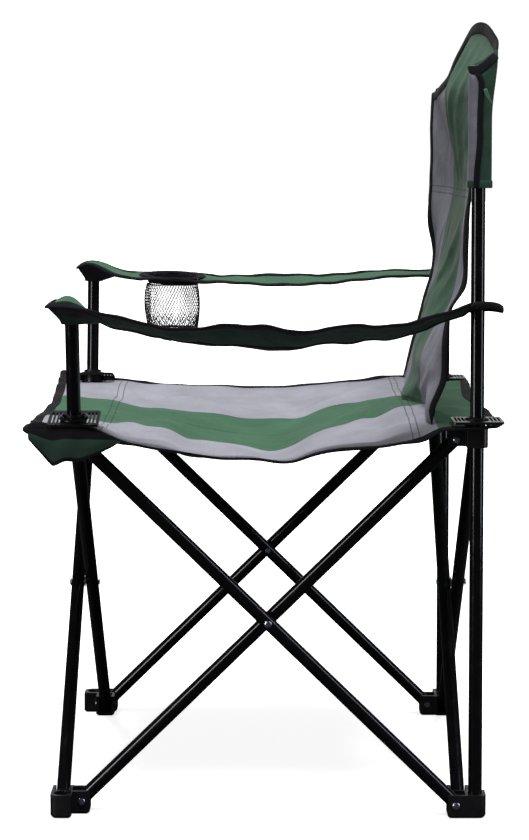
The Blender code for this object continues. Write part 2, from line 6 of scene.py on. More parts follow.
import bmesh
import bpy
import numpy as np
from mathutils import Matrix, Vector, noise

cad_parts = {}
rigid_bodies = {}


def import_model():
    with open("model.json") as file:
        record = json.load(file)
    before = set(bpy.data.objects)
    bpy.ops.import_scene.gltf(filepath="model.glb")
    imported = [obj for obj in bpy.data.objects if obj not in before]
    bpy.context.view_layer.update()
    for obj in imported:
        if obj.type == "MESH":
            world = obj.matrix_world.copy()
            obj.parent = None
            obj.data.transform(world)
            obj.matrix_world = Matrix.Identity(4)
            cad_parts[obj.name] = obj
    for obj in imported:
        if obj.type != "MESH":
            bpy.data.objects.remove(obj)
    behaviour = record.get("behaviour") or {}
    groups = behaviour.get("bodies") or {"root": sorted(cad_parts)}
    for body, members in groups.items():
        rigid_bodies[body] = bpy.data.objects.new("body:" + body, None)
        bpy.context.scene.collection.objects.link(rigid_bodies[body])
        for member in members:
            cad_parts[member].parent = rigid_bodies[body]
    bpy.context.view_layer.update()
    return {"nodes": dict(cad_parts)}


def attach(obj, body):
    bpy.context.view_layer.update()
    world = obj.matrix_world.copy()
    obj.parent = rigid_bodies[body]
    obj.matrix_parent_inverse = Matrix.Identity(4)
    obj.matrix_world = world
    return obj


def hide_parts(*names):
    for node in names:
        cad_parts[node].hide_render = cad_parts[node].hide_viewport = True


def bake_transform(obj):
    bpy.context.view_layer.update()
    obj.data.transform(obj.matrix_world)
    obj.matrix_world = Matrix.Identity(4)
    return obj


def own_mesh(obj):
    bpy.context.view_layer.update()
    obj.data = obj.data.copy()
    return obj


for o in list(bpy.data.objects):
    bpy.data.objects.remove(o)
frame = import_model()
NODES = frame["nodes"]

# Sizes of the frame that the fabric fits round.
LEG = 0.238  # from the middle to a leg's axis
POST_LEAN = math.radians(11.5)
POST_FOOT_Z = 0.435
POST_Y = {1: -0.2205, -1: -0.238}
HEM = 0.0105  # width of a binding that shows
HEM_STEPS = 2  # steps of a cloth's grid that its binding covers
CLOTH = 0.0009  # thickness of the cloth
TAPE = 0.0005  # thickness of a binding's tape
STRIPE = 0.08  # half the green stripe's width
SEAM, STITCH = 0.0007, 0.00045  # half the width of a seam's line and of a row of stitches
STITCH_PITCH = 0.0036
CASTING_MIDDLE, CASTING_HALF = 0.2285, 0.0225  # the tops of the castings under the seat, in X and in Y
BACK_FOOT_Y = 0.187  # where the back is sewn to the seat


def smooth(t):
    t = np.clip(t, 0.0, 1.0)
    return t * t * (3 - 2 * t)


def segment(x, at):
    """For each place, the step of x that holds it, the step's length and the share of the way along it."""
    i = np.clip(np.searchsorted(x, at) - 1, 0, len(x) - 2)
    h = x[i + 1] - x[i]
    return i, h, np.clip((at - x[i]) / h, 0.0, 1.0)


def hermite(t, h, start, start_slope, end, end_slope):
    return (
        start * (1 + 2 * t) * (1 - t) ** 2
        + h * start_slope * t * (1 - t) ** 2
        + end * t * t * (3 - 2 * t)
        + h * end_slope * t * t * (t - 1)
    )


def across(stations, values, at):
    """A smooth curve through values that differ from point to point: values[k] belongs to stations[k]."""
    x = np.array(stations, float)
    y = np.stack([v + 0 * at for v in values])
    slope = np.gradient(y, x, axis=0)
    i, h, t = segment(x, at)
    ends = [np.take_along_axis(a, k[None], 0)[0] for k in (i, i + 1) for a in (y, slope)]
    return hermite(t, h, *ends)


def eased(points, at):
    """A smooth curve through (position, value) points."""
    x, y = np.array(points, float).T
    slope = np.gradient(y, x)
    i, h, t = segment(x, at)
    return hermite(t, h, y[i], slope[i], y[i + 1], slope[i + 1])


def tenths(*points):
    """Points of a curve, given in tenths of a millimetre."""
    return [(a / 10000, b / 10000) for a, b in points]


def gauss(t):
    return np.exp(-(t * t))


def creased(a, b, creases, width, height):
    """Lift of a surface over creases: each is a start and an end in millimetres, and a share of the height."""
    lift = 0.0 * a
    for *ends, share in creases:
        a0, b0, a1, b1 = (v / 1000 for v in ends)
        long = math.hypot(a1 - a0, b1 - b0)
        along = ((a - a0) * (a1 - a0) + (b - b0) * (b1 - b0)) / long**2
        bow = 0.06 * long * np.sin(math.pi * np.clip(along, 0, 1)) * (1 if share > 0 else -1)
        off = ((a - a0) * (b1 - b0) - (b - b0) * (a1 - a0)) / long + bow
        fade = smooth(along / 0.25) * smooth((1 - along) / 0.45)
        lift = lift + share * height * fade * gauss(off / width)
    return lift


def roughened(points, size, height, seed):
    """Uneven lift for each point, from smooth noise with features of the given size."""
    shift = Vector((seed * 3.7, seed * 1.3, seed * 0.9))
    flat = points.reshape(-1, 3)
    lift = np.array([noise.noise(Vector(p) / size + shift) for p in flat]) * height
    return lift.reshape(points.shape[:-1])


# ---------------------------------------------------------------- materials


class Look:
    """A Principled material with a few helpers for its nodes."""

    def __init__(self, name, colour, roughness, **sockets):
        self.material = bpy.data.materials.new(name)
        self.material.use_nodes = True
        self.tree = self.material.node_tree
        self.shader = self.tree.nodes["Principled BSDF"]
        self.put(self.shader, {"Base Color": (*colour, 1.0), "Roughness": roughness})
        self.put(self.shader, {k.replace("_", " "): v for k, v in sockets.items()})

    def put(self, node, inputs):
        for key, value in inputs.items():
            if isinstance(value, bpy.types.NodeSocket):
                self.tree.links.new(value, node.inputs[key])
            else:
                node.inputs[key].default_value = value

    def node(self, kind, inputs=None, **settings):
        made = self.tree.nodes.new("ShaderNode" + kind)
        for key, value in settings.items():
            setattr(made, key, value)
        self.put(made, inputs or {})
        return made

    def math(self, operation, a, b=0.0, c=0.0):
        made = self.node("Math", operation=operation)
        self.put(made, {0: a, 1: b, 2: c})
        return made.outputs[0]

    def noise(self, vector, scale, detail=3.0, rough=0.55):
        made = self.node("TexNoise", {"Vector": vector, "Scale": scale, "Detail": detail, "Roughness": rough})
        return made.outputs["Fac"]

    def ramp(self, value, low, high, out_low, out_high):
        made = self.node(
            "MapRange", {"Value": value, "From Min": low, "From Max": high, "To Min": out_low, "To Max": out_high}
        )
        return made.outputs["Result"]

    def bump(self, height, strength, distance, below=None):
        inputs = {"Height": height, "Strength": strength, "Distance": distance}
        if below is not None:
            inputs["Normal"] = below
        return self.node("Bump", inputs).outputs["Normal"]

    def mix(self, factor, a, b):
        made = self.node("Mix", data_type="RGBA")
        self.put(made, {"Factor": factor, "A": a, "B": b})
        return made.outputs["Result"]


def rgba(colour, share=1.0):
    return (*[min(1.0, c * share) for c in colour], 1.0)


def moulded(name, colour, roughness, grain):
    """Moulded plastic or enamel: fine grain in the surface, and patches of uneven gloss."""
    look = Look(name, colour, roughness, Specular_IOR_Level=0.5)
    where = look.node("TexCoord").outputs["Object"]
    fine = look.noise(where, 900.0, 4.0)
    broad = look.noise(where, 38.0, 4.0)
    look.put(
        look.shader,
        {
            "Roughness": look.ramp(broad, 0.3, 0.7, roughness - 0.07, roughness + 0.1),
            "Base Color": look.mix(look.ramp(broad, 0.35, 0.7, 0.0, 1.0), rgba(colour), rgba(colour, 1.7)),
            "Normal": look.bump(fine, grain, 0.0002),
        },
    )
    return look.material


def enamel():
    """Gloss black powder paint on tube."""
    colour = (0.0028, 0.0024, 0.0034)
    look = Look("tube_paint", colour, 0.14, Specular_IOR_Level=0.5)
    where = look.node("TexCoord").outputs["Object"]
    peel = look.noise(where, 420.0, 2.0)
    scuff = look.noise(where, 60.0, 5.0, 0.7)
    look.put(
        look.shader,
        {
            "Roughness": look.ramp(scuff, 0.4, 0.75, 0.11, 0.26),
            "Base Color": look.mix(look.ramp(scuff, 0.55, 0.8, 0.0, 0.6), rgba(colour), (0.009, 0.0085, 0.01, 1.0)),
            "Normal": look.bump(peel, 0.08, 0.00025),
        },
    )
    return look.material


def steel():
    look = Look("rivet_steel", (0.62, 0.68, 0.78), 0.24, Metallic=1.0)
    where = look.node("TexCoord").outputs["Object"]
    scratch = look.noise(where, 700.0, 5.0, 0.7)
    look.put(
        look.shader,
        {"Roughness": look.ramp(scratch, 0.3, 0.7, 0.16, 0.36), "Normal": look.bump(scratch, 0.15, 0.0002)},
    )
    return look.material


def fabric(
    name, colour, thread=0.0011, roughness=0.78, lines=(), sheen=0.12, crinkle=0.5, light=1.15, gloss=0.25
):
    """Woven polyester, with UVs in metres along the cloth.

    light is how much brighter its light patches are. Each of lines is ("u" or "v", where, half width, dashed).
    """
    look = Look(name, colour, roughness, Sheen_Weight=sheen, Sheen_Roughness=0.45, Specular_IOR_Level=gloss)
    uv = look.node("UVMap").outputs["UV"]
    parts = look.node("SeparateXYZ", {"Vector": uv}).outputs
    turn = 2 * math.pi / thread
    warp = look.math("SINE", look.math("MULTIPLY", parts["X"], turn))
    weft = look.math("SINE", look.math("MULTIPLY", parts["Y"], turn))
    weave = look.math("MULTIPLY", warp, weft)
    broad = look.noise(uv, 16.0, 4.0)
    slub = look.node("Mapping", {"Vector": uv, "Scale": (60.0, 900.0, 1.0)}).outputs["Vector"]
    streak = look.noise(slub, 1.0, 3.0)
    tone = look.mix(look.ramp(broad, 0.35, 0.68, 0.0, 1.0), rgba(colour, 0.9), rgba(colour, light))
    tone = look.mix(look.ramp(streak, 0.4, 0.7, 0.0, 0.22), tone, rgba(colour, 0.7))
    # Painted shade: the cloth is darker where the weave is low, in its hollows.
    tone = look.mix(look.ramp(weave, -1.0, 1.0, 0.16, 0.0), tone, rgba(colour, 0.45))
    crease = look.noise(uv, 30.0, 2.0, 0.5)
    normal = look.bump(crease, crinkle, 0.006)
    normal = look.bump(weave, 0.22, 0.0002, normal)
    for axis, place, half, dashed in lines:
        along, over = ("Y", "X") if axis == "u" else ("X", "Y")
        gap = look.math("ABSOLUTE", look.math("SUBTRACT", parts[over], place))
        mark = look.ramp(gap, half, half * 1.9, 1.0, 0.0)
        if dashed:
            beat = look.math("FRACT", look.math("MULTIPLY", parts[along], 1 / STITCH_PITCH))
            mark = look.math("MULTIPLY", mark, look.ramp(beat, 0.66, 0.74, 1.0, 0.25))
        tone = look.mix(look.math("MULTIPLY", mark, 0.75), tone, (0.02, 0.022, 0.028, 1.0))
        normal = look.bump(look.math("SUBTRACT", 1.0, mark), 0.5, 0.0007, normal)
    look.put(look.shader, {"Base Color": tone, "Normal": normal})
    return look.material


GREY = (0.292, 0.295, 0.338)
GREEN = (0.05, 0.128, 0.073)
# Painted shade: a darker copy of the green for the undersides of the arms and for their pockets.
SHADE_DARK_GREEN = (0.01, 0.034, 0.021)
# Painted shade: a darker copy of the green for the seat's and back's undersides, the corner flaps and the sleeves.
SHADED_GREEN = (0.032, 0.076, 0.052)
BLACK = (0.0075, 0.007, 0.009)
BACK_PURPLE = (0.222, 0.219, 0.268)
# Painted highlight: a much lighter copy of the green for the loose corner at the left sleeve.
TAG_HIGHLIGHT_COLOUR = (0.16, 0.34, 0.21)


def marks(*stitches):
    """The seams beside the green stripe, and rows of stitches at these places along the cloth."""
    seams = [("u", STRIPE, SEAM, False), ("u", -STRIPE, SEAM, False)]
    return seams + [("v", place, STITCH, True) for place in stitches]


SEAT_LINES = marks(-0.1985, -0.1905, 0.164, 0.1715)
BACK_LINES = marks(0.2497, 0.2577)
SEAT_GREY = fabric("seat_grey", GREY, lines=SEAT_LINES)
SEAT_GREEN = fabric("seat_green", GREEN, lines=SEAT_LINES)
BACK_GREY = fabric("back_grey", BACK_PURPLE, lines=BACK_LINES)
BACK_GREEN = fabric("back_green", GREEN, lines=BACK_LINES)
PLAIN_GREEN = fabric("plain_green", GREEN)
UNDERSIDE_SHADE_GREEN = fabric("underside_painted_shade", SHADE_DARK_GREEN, sheen=0.03, gloss=0.12)
SHADED_CLOTH_GREEN = fabric("painted_shade_cloth_green", SHADED_GREEN, sheen=0.05, gloss=0.15)
TAG_PAINTED_HIGHLIGHT = fabric("tag_painted_highlight", TAG_HIGHLIGHT_COLOUR, crinkle=0.2)
BINDING = fabric(
    "binding_black", BLACK, thread=0.0019, roughness=0.7, sheen=0.04, crinkle=0.35, light=2.2, gloss=0.1
)
THREAD = Look("net_thread", (0.012, 0.012, 0.014), 0.55, Sheen_Weight=0.1).material
PAINT = enamel()
CASTING = moulded("casting_plastic", (0.0055, 0.0055, 0.0068), 0.36, 0.35)
GLOSS_PLASTIC = moulded("plate_plastic", (0.0048, 0.0048, 0.006), 0.28, 0.15)
STEEL = steel()


# ---------------------------------------------------------------- mesh helpers


def new_object(name, points, faces, uvs=None, materials=(), face_materials=None):
    """A mesh object. points and uvs may be grids, with a pair of UVs for each point."""
    mesh = bpy.data.meshes.new(name)
    mesh.from_pydata([tuple(p) for p in np.reshape(points, (-1, 3))], [], faces)
    for m in materials:
        mesh.materials.append(m)
    if face_materials is not None:
        mesh.polygons.foreach_set("material_index", face_materials)
    if uvs is not None:
        layer = mesh.uv_layers.new(name="UVMap")
        ids = np.zeros(len(mesh.loops), int)
        mesh.loops.foreach_get("vertex_index", ids)
        layer.data.foreach_set("uv", np.reshape(uvs, (-1, 2))[ids].ravel())
    mesh.polygons.foreach_set("use_smooth", [True] * len(mesh.polygons))
    mesh.update()
    made = bpy.data.objects.new(name, mesh)
    bpy.context.scene.collection.objects.link(made)
    return made


def subdivided(o):
    step = o.modifiers.new("smooth", "SUBSURF")
    step.levels = step.render_levels = 1
    return o


def thicken(o, thickness, under=0):
    """under is how many material slots further on the sheet's other face is."""
    step = o.modifiers.new("thickness", "SOLIDIFY")
    step.thickness, step.offset = thickness, 0.0
    step.use_even_offset = False
    step.material_offset = under
    return subdivided(o)


def angles(count):
    """Equal steps round a full turn."""
    return [2 * math.pi * k / count for k in range(count)]


def grid_faces(rows, columns, wrap=False, loop=False, base=0):
    """Faces between a grid's points. wrap joins its last column to its first, and loop its last row to its first."""
    found = []
    for j in range(rows if loop else rows - 1):
        for i in range(columns if wrap else columns - 1):
            here, there = base + j * columns, base + (j + 1) % rows * columns
            k = (i + 1) % columns
            found.append((here + i, here + k, there + k, there + i))
    return found


def grid_normals(points):
    n = np.cross(np.gradient(points, axis=1), np.gradient(points, axis=0))
    return n / np.maximum(np.linalg.norm(n, axis=-1, keepdims=True), 1e-12)


def with_stripe(half, outside, inside):
    """Places across a striped cloth: its bindings, then steps outside the stripe, then steps in half of it."""
    grey = np.linspace(HEM, half - STRIPE, outside)[1:]
    green = half - np.linspace(STRIPE, 0.0, inside)[1:]
    steps = np.concatenate([[0.0, HEM / 2, HEM], grey, green])
    return np.concatenate([-half + steps, (half - steps)[::-1][1:]])


def uv_pairs(a, b, shape):
    return np.stack([np.broadcast_to(a, shape), np.broadcast_to(b, shape)], -1)


def grid_sheet(name, points, uvs, materials, choose=None, keep=None, thickness=CLOTH, under=0):
    """A sheet over a grid of points, rows first.

    choose(u, v) gives a face's material, and keep(point) says if it stays.
    """
    rows, columns = points.shape[:2]
    flat, flat_uv = points.reshape(-1, 3), uvs.reshape(-1, 2)
    faces = grid_faces(rows, columns)
    if keep is not None:
        faces = [f for f in faces if keep(flat[list(f)].mean(0))]
    picks = None if choose is None else [choose(*flat_uv[list(f)].mean(0)) for f in faces]
    made = new_object(name, flat, faces, flat_uv, materials, picks)
    if keep is not None:
        build = bmesh.new()
        build.from_mesh(made.data)
        bmesh.ops.delete(build, geom=[v for v in build.verts if not v.link_faces], context="VERTS")
        build.to_mesh(made.data)
        build.free()
    return thicken(made, thickness, under)


def ring_sheet(name, points, size, materials, thickness=CLOTH, choose=None):
    """A sheet that goes round: rows of points that close on themselves. size is its UVs' extent.

    choose(row) gives a face's material.
    """
    rows, turns = points.shape[:2]
    uvs = np.stack(np.meshgrid(np.linspace(0, size[0], turns), np.linspace(0, size[1], rows)), -1)
    faces = grid_faces(rows, turns, wrap=True)
    picks = None if choose is None else [choose(f[0] // turns) for f in faces]
    return thicken(new_object(name, points, faces, uvs, materials, picks), thickness)


def strip_steps(path):
    steps = np.linalg.norm(np.diff(path, axis=0), axis=1)
    return np.concatenate([[0.0], np.cumsum(steps)])


def binding(name, outer, inner, normals, seed, proud=0.0011, pucker=0.0006):
    """A tape folded over an edge: outer and inner are paths of points, normals point out of the cloth's face."""
    outer, inner, normals = (np.array(a, float) for a in (outer, inner, normals))
    out = outer - inner
    out /= np.maximum(np.linalg.norm(out, axis=1, keepdims=True), 1e-9)
    long = strip_steps(outer)
    wave = np.array([noise.noise(Vector((d / 0.012, seed * 2.1, 0.0))) for d in long])[:, None] * pucker
    half = (outer + inner) / 2
    proud = np.reshape(proud, (-1, 1))
    lift = normals * (proud + np.abs(wave))
    nose = 0.0016 + 0.8 * np.maximum(proud - 0.0015, 0.0)  # rounder where the tape stands prouder
    ring = [
        inner + normals * 0.0004,
        inner + lift + out * 0.0008,
        half + lift * 1.15,
        outer + lift * 0.95 + out * (wave + 0.0004),
        outer + out * (nose + wave),
        outer - lift * 0.95 + out * (wave + 0.0004),
        half - lift * 1.15,
        inner - lift + out * 0.0008,
        inner - normals * 0.0004,
    ]
    points = np.stack(ring, axis=1)
    uvs = uv_pairs(np.linspace(0.0, 2.2 * HEM, len(ring)), long[:, None], points.shape[:2])
    faces = [f[::-1] for f in grid_faces(len(outer), len(ring))]
    return thicken(new_object(name, points, faces, uvs, [BINDING]), TAPE)


def bind_rim(name, points, normals, rows, columns, seed, proud=0.0011, pucker=0.0006):
    """A binding along the rim of a grid, through its points at (rows[k], columns[k])."""
    j, i = np.array(rows), np.array(columns)
    last_row, last_column = points.shape[0] - 1, points.shape[1] - 1
    inner = points[np.clip(j, HEM_STEPS, last_row - HEM_STEPS), np.clip(i, HEM_STEPS, last_column - HEM_STEPS)]
    return binding(name, points[j, i], inner, normals[j, i], seed, proud, pucker)


def settle(name, points, pinned, frames, cap, grow):
    """Cloth simulation of a grid that hangs from its pinned points, with a share of slack.

    grow is the slack, and no point moves further than cap.
    """
    rows, columns = points.shape[:2]
    made = new_object(name, points, grid_faces(rows, columns))
    group = made.vertex_groups.new(name="pins")
    for k, weight in enumerate(pinned.ravel()):
        if weight > 0.01:
            group.add([k], float(weight), "REPLACE")
    step = made.modifiers.new("cloth", "CLOTH")
    s = step.settings
    s.vertex_group_mass = "pins"
    s.quality = 6
    s.mass = 0.12
    s.tension_stiffness = s.compression_stiffness = 18
    s.shear_stiffness = 6
    s.bending_stiffness = 0.06
    s.tension_damping = s.compression_damping = 12
    s.shrink_min = -grow
    s.air_damping = 3
    s.effector_weights.gravity = 0.25
    step.collision_settings.use_collision = False
    step.point_cache.frame_start, step.point_cache.frame_end = 1, frames
    scene = bpy.context.scene
    for f in range(1, frames + 1):
        scene.frame_set(f)
    found = made.evaluated_get(bpy.context.evaluated_depsgraph_get()).to_mesh()
    moved = np.zeros(len(found.vertices) * 3)
    found.vertices.foreach_get("co", moved)
    moved = moved.reshape(rows, columns, 3)
    bpy.data.objects.remove(made)
    scene.frame_set(1)
    away = moved - points
    far = np.maximum(np.linalg.norm(away, axis=-1, keepdims=True), 1e-9)
    return points + away / far * cap * np.tanh(far / cap)


def lathe(name, profile, middle, direction, sides, finish):
    """A closed ring of revolution: profile is a loop of (radius, along) pairs."""
    turn = Vector((0, 0, 1)).rotation_difference(Vector(direction)).to_matrix()
    points = [
        Vector(middle) + turn @ Vector((r * math.cos(a), r * math.sin(a), h))
        for a in angles(sides)
        for r, h in profile
    ]
    faces = grid_faces(sides, len(profile), wrap=True, loop=True)
    return subdivided(new_object(name, points, faces, None, [finish]))


def tubes_along(name, paths, radius, finish, sides=4, closed=False):
    """Thin round strands, one along each path of points."""
    points, faces = [], []
    for path in paths:
        p = np.array(path, float)
        ahead = np.roll(p, -1, 0) - np.roll(p, 1, 0) if closed else np.gradient(p, axis=0)
        ahead /= np.maximum(np.linalg.norm(ahead, axis=1, keepdims=True), 1e-9)
        side = np.cross(ahead, np.array([0.31, 0.22, 0.92]))
        side /= np.maximum(np.linalg.norm(side, axis=1, keepdims=True), 1e-9)
        up = np.cross(side, ahead)
        base, count = len(points), len(p)
        for k in range(count):
            for a in angles(sides):
                points.append(p[k] + radius * (side[k] * math.cos(a) + up[k] * math.sin(a)))
        faces += grid_faces(count, sides, wrap=True, loop=closed, base=base)
        if not closed:
            faces.append(tuple(base + a for a in reversed(range(sides))))
            faces.append(tuple(base + (count - 1) * sides + a for a in range(sides)))
    return new_object(name, points, faces, None, [finish])


# ---------------------------------------------------------------- frame parts from the CAD


def round_off(o, sharp_degrees, bevel=0.0):
    """Smooth shading on a CAD node: a modifier welds its faces, and edges sharper than the angle stay crisp."""
    mesh = o.data
    if "custom_normal" in mesh.attributes:
        mesh.attributes.remove(mesh.attributes["custom_normal"])

    def place(v):
        return tuple(round(c * 50000) for c in mesh.vertices[v].co)

    sides = {}
    for p in mesh.polygons:
        p.use_smooth = True
        for e in p.edge_keys:
            sides.setdefault(frozenset((place(e[0]), place(e[1]))), []).append(p.normal.copy())
    limit = math.radians(sharp_degrees)
    for e in mesh.edges:
        found = sides.get(frozenset((place(e.vertices[0]), place(e.vertices[1]))), [])
        normals = [n for n in found if n.length > 0.5]
        e.use_edge_sharp = len(normals) < 2 or normals[0].angle(normals[-1], 0.0) > limit
    step = o.modifiers.new("weld", "WELD")
    step.merge_threshold = 0.00002
    if bevel:
        step = o.modifiers.new("edges", "BEVEL")
        step.width, step.segments = bevel, 2
        step.limit_method, step.angle_limit = "ANGLE", math.radians(38)
        step.harden_normals = True


def dress(o, finish):
    o.data.materials.clear()
    o.data.materials.append(finish)


for node_name, node in NODES.items():
    if node_name.endswith(("_tube", "_upright", "_arm_post")):
        dress(node, PAINT)
        round_off(node, 40)
    elif node_name.endswith(("_foot", "_bracket", "_slider", "_cap")):
        dress(node, CASTING)
        round_off(node, 32, 0.0005)
    elif node_name.endswith("_plate"):
        dress(node, GLOSS_PLASTIC)
        round_off(node, 30, 0.0004)
    elif node_name.endswith(("_pin", "_rivet", "_spacer")):
        dress(node, STEEL)
        round_off(node, 50)


def collar(name, middle, direction, inner, body):
    """The low moulded ring that stands on a plate round its post."""
    steps = ((0, 0), (0.0052, 0), (0.0048, 0.0012), (0.0016, 0.0028), (0, 0.003))
    profile = [(inner + out, up) for out, up in steps]
    made = lathe(name, profile, middle, direction, 28, GLOSS_PLASTIC)
    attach(made, body)


BRACKET_BODY = {1: "front_left_top", -1: "front_right_top"}
SLIDER_BODY = {1: "rear_left_slide", -1: "rear_right_slide"}
UPRIGHT_BODY = {1: "root", -1: "rear_right_leg"}
SIDE_NAME = {1: "left", -1: "right"}


def post_at(side, z):
    """The middle of a leaning arm post at height z."""
    return np.array([side * (LEG + (z - POST_FOOT_Z) * math.tan(POST_LEAN)), POST_Y[side], z])


# ---------------------------------------------------------------- seat

SEAT_FRONT, SEAT_REAR, SEAT_HALF = -0.279, 0.268, 0.262
CASTING_TOP = 0.4519  # level of the fabric over the castings
REAR_BAND = 0.192  # the sewn band behind the back's foot is green
POST_HOLE, UPRIGHT_HOLE = 0.0145, 0.0125  # radii of the holes that the frame comes through
# The corners that tension folds fan out from, each with the phase of its folds.
SEAT_CORNERS = [((0.235, -0.225), 0.4), ((-0.235, -0.225), 1.7), ((0.235, 0.235), 2.2), ((-0.235, 0.235), 0.9)]
FAR_HEM = tenths(
    (-2790, 4720), (-2550, 4660), (-2250, 4600), (-1920, 4560), (-1295, 4508), (-500, 4480), (0, 4465), (640, 4500),
    (1150, 4540), (1700, 4600), (2000, 4640), (2700, 4660),
)
FAR_STRIPE = tenths(
    (-2790, 4530), (-2000, 4454), (-1610, 4385), (-1140, 4357), (-660, 4295), (-270, 4235), (50, 4228), (410, 4262),
    (750, 4372), (1090, 4450), (1425, 4513), (1715, 4547), (2000, 4570), (2700, 4600),
)
NEAR_STRIPE = tenths(
    (-2790, 4500), (-2280, 4448), (-1930, 4395), (-1520, 4351), (-1220, 4310), (-1000, 4200), (-630, 4125),
    (-255, 4075), (50, 4040), (250, 4090), (570, 4245), (1030, 4375), (1300, 4430), (1477, 4530), (1700, 4580),
    (2700, 4580),
)
NEAR_HEM = tenths(
    (-2790, 4480), (-2300, 4490), (-1950, 4445), (-1750, 4375), (-1570, 4335), (-1340, 4290), (-1000, 4255),
    (-545, 4220), (-91, 4198), (279, 4168), (477, 4210), (700, 4250), (1040, 4290), (1380, 4325), (1610, 4380),
    (1780, 4430), (2000, 4500), (2700, 4560),
)


def seat_level(x, y):
    """Height of the seat's fabric: four measured lines along it, joined across by a cubic."""
    stations = np.array([-0.252, -STRIPE, STRIPE, 0.252])
    lines = [eased(p, y) for p in (FAR_HEM, FAR_STRIPE, NEAR_STRIPE, NEAR_HEM)]
    total = 0.0
    for k, line in enumerate(lines):
        others = [stations[m] for m in range(4) if m != k]
        share = np.ones_like(x)
        for other in others:
            share = share * (x - other) / (stations[k] - other)
        total = total + share * line
    return total


def folds(x, y, corner, count, reach, height, phase):
    """Tension folds that fan out from a corner and die away with distance."""
    dx, dy = x - corner[0], y - corner[1]
    far = np.hypot(dx, dy)
    angle = np.arctan2(dy, dx)
    wave = 1 - np.abs(np.sin(angle * count + phase)) * 2
    return height * wave * np.exp(-far / reach) * smooth((far - 0.035) / 0.05)


SEAT_CREASES = [
    (205, -205, 75, -20, 1.0), (215, -185, 165, -10, -0.9), (190, -215, 20, -120, 0.8), (180, -200, -20, -40, -0.7),
    (-205, -205, -90, -40, 0.9), (-195, -215, -60, -140, -0.8), (-215, -190, -180, -30, 0.7),
    (205, 185, 90, 40, 0.9), (215, 170, 185, 20, -0.8), (180, 180, 10, 80, 0.8), (120, 175, -10, 30, -0.7),
    (-205, 180, -120, 30, 0.9), (-190, 180, -40, 100, -0.8), (60, 180, 100, 60, 0.7), (-150, -120, -50, 60, 0.6),
    (150, -110, 120, 60, 0.7), (40, -150, 60, 20, -0.6), (-20, -100, -110, 90, -0.6),
]


def build_seat():
    u = with_stripe(SEAT_HALF, 23, 11)
    inner = np.linspace(SEAT_FRONT + HEM, SEAT_REAR - HEM, 66)
    v = np.concatenate([[SEAT_FRONT, SEAT_FRONT + HEM / 2], inner, [SEAT_REAR - HEM / 2, SEAT_REAR]])
    uu, vv = np.meshgrid(u, v)
    share = (vv - SEAT_FRONT) / (SEAT_REAR - SEAT_FRONT)
    waist = 0.017 * np.sin(math.pi * np.clip(share * 1.12, 0, 1)) ** 2
    x = uu * (1 - waist / SEAT_HALF)
    y = vv + 0.007 * gauss(uu / 0.13) * smooth((-0.2 - vv) / 0.08)
    y = y - 0.012 * gauss(uu / 0.15) * smooth((vv - 0.2) / 0.06)
    tuck = smooth((np.abs(uu) - 0.236) / 0.026) * smooth((np.abs(vv) - 0.236) / 0.034)
    x, y = x - np.sign(uu) * 0.0075 * tuck, y - np.sign(vv) * 0.0075 * tuck
    z = seat_level(x, y)
    for corner, phase in SEAT_CORNERS:
        z = z + folds(x, y, corner, count=9, reach=0.105, height=0.0042, phase=phase)
    points = np.stack([x, y, z], -1)
    points[..., 2] += roughened(points, 0.055, 0.0035, 3) + creased(x, y, SEAT_CREASES, 0.0085, 0.0044)
    off_casting = np.hypot(*(np.maximum(np.abs(np.abs(c) - CASTING_MIDDLE) - CASTING_HALF, 0) for c in (x, y)))
    flat_share = 1 - smooth(off_casting / 0.034)
    level = CASTING_TOP + 0.004 * smooth((np.abs(x) - 0.25) / 0.02) * (x < 0)
    points[..., 2] += (level - points[..., 2]) * flat_share
    pinned = (np.abs(np.abs(x) - CASTING_MIDDLE) < 0.028) & (np.abs(np.abs(y) - CASTING_MIDDLE) < 0.028)
    pinned |= (np.abs(y - BACK_FOOT_Y) < 0.006) & (np.abs(x) < 0.225)
    settled = settle("seat_cloth", points, pinned.astype(float), frames=18, cap=0.0025, grow=0.012)
    points = points + (settled - points) * smooth(off_casting / 0.03)[..., None]
    uvs = np.stack([uu, vv], -1)
    middle = len(u) // 2
    normals = grid_normals(points)

    def keep(p):
        for side in (1, -1):
            post = post_at(side, 0.452)
            if math.hypot(p[0] - post[0], p[1] - post[1]) < POST_HOLE:
                return False
            if math.hypot(p[0] - side * LEG, p[1] - LEG) < UPRIGHT_HOLE:
                return False
        return True

    for side in (1, -1):
        name = f"seat_{SIDE_NAME[side]}"
        columns = slice(middle, None) if side > 0 else slice(None, middle + 1)
        half = points[:, columns].copy()
        half[:, 0 if side > 0 else -1, 0] -= side * 0.001  # the halves lap over each other at the fold
        # The seat's underside gets the darker shaded green, which is painted shade.
        part = grid_sheet(
            f"{name}_cloth",
            half,
            uvs[:, columns],
            [SEAT_GREY, SEAT_GREEN, SHADED_CLOTH_GREEN],
            lambda a, b: int(abs(a) < STRIPE or b > REAR_BAND),
            keep,
            under=2,
        )
        last = len(u) - 1 if side > 0 else 0
        run = range(middle, last + side, side)
        rows = [0] * len(run) + list(range(1, len(v) - 1)) + [len(v) - 1] * len(run)
        cols = list(run) + [last] * (len(v) - 2) + list(run)[::-1]
        ends = points[rows, cols]
        near_corner = np.hypot(np.abs(ends[:, 0]) - 0.25, ends[:, 1] + 0.265)
        proud = 0.0011 + 0.0056 * gauss(near_corner / 0.024)
        hem = bind_rim(f"{name}_hem", points, normals, rows, cols, 4 + side, proud)
        body = f"seat_{SIDE_NAME[side]}_half"
        for piece, slot in ((part, "seat_fabric"), (hem, "arm_fabric")):
            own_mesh(piece)
            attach(piece, body)
        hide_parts(f"seat_{SIDE_NAME[side]}")


build_seat()


FLAP_LOWER = tenths(
    (-2710, 4400), (-2625, 4300), (-2440, 4085), (-2307, 4150), (-2136, 4140), (-1950, 4215), (-1780, 4300),
    (-1660, 4368),
)


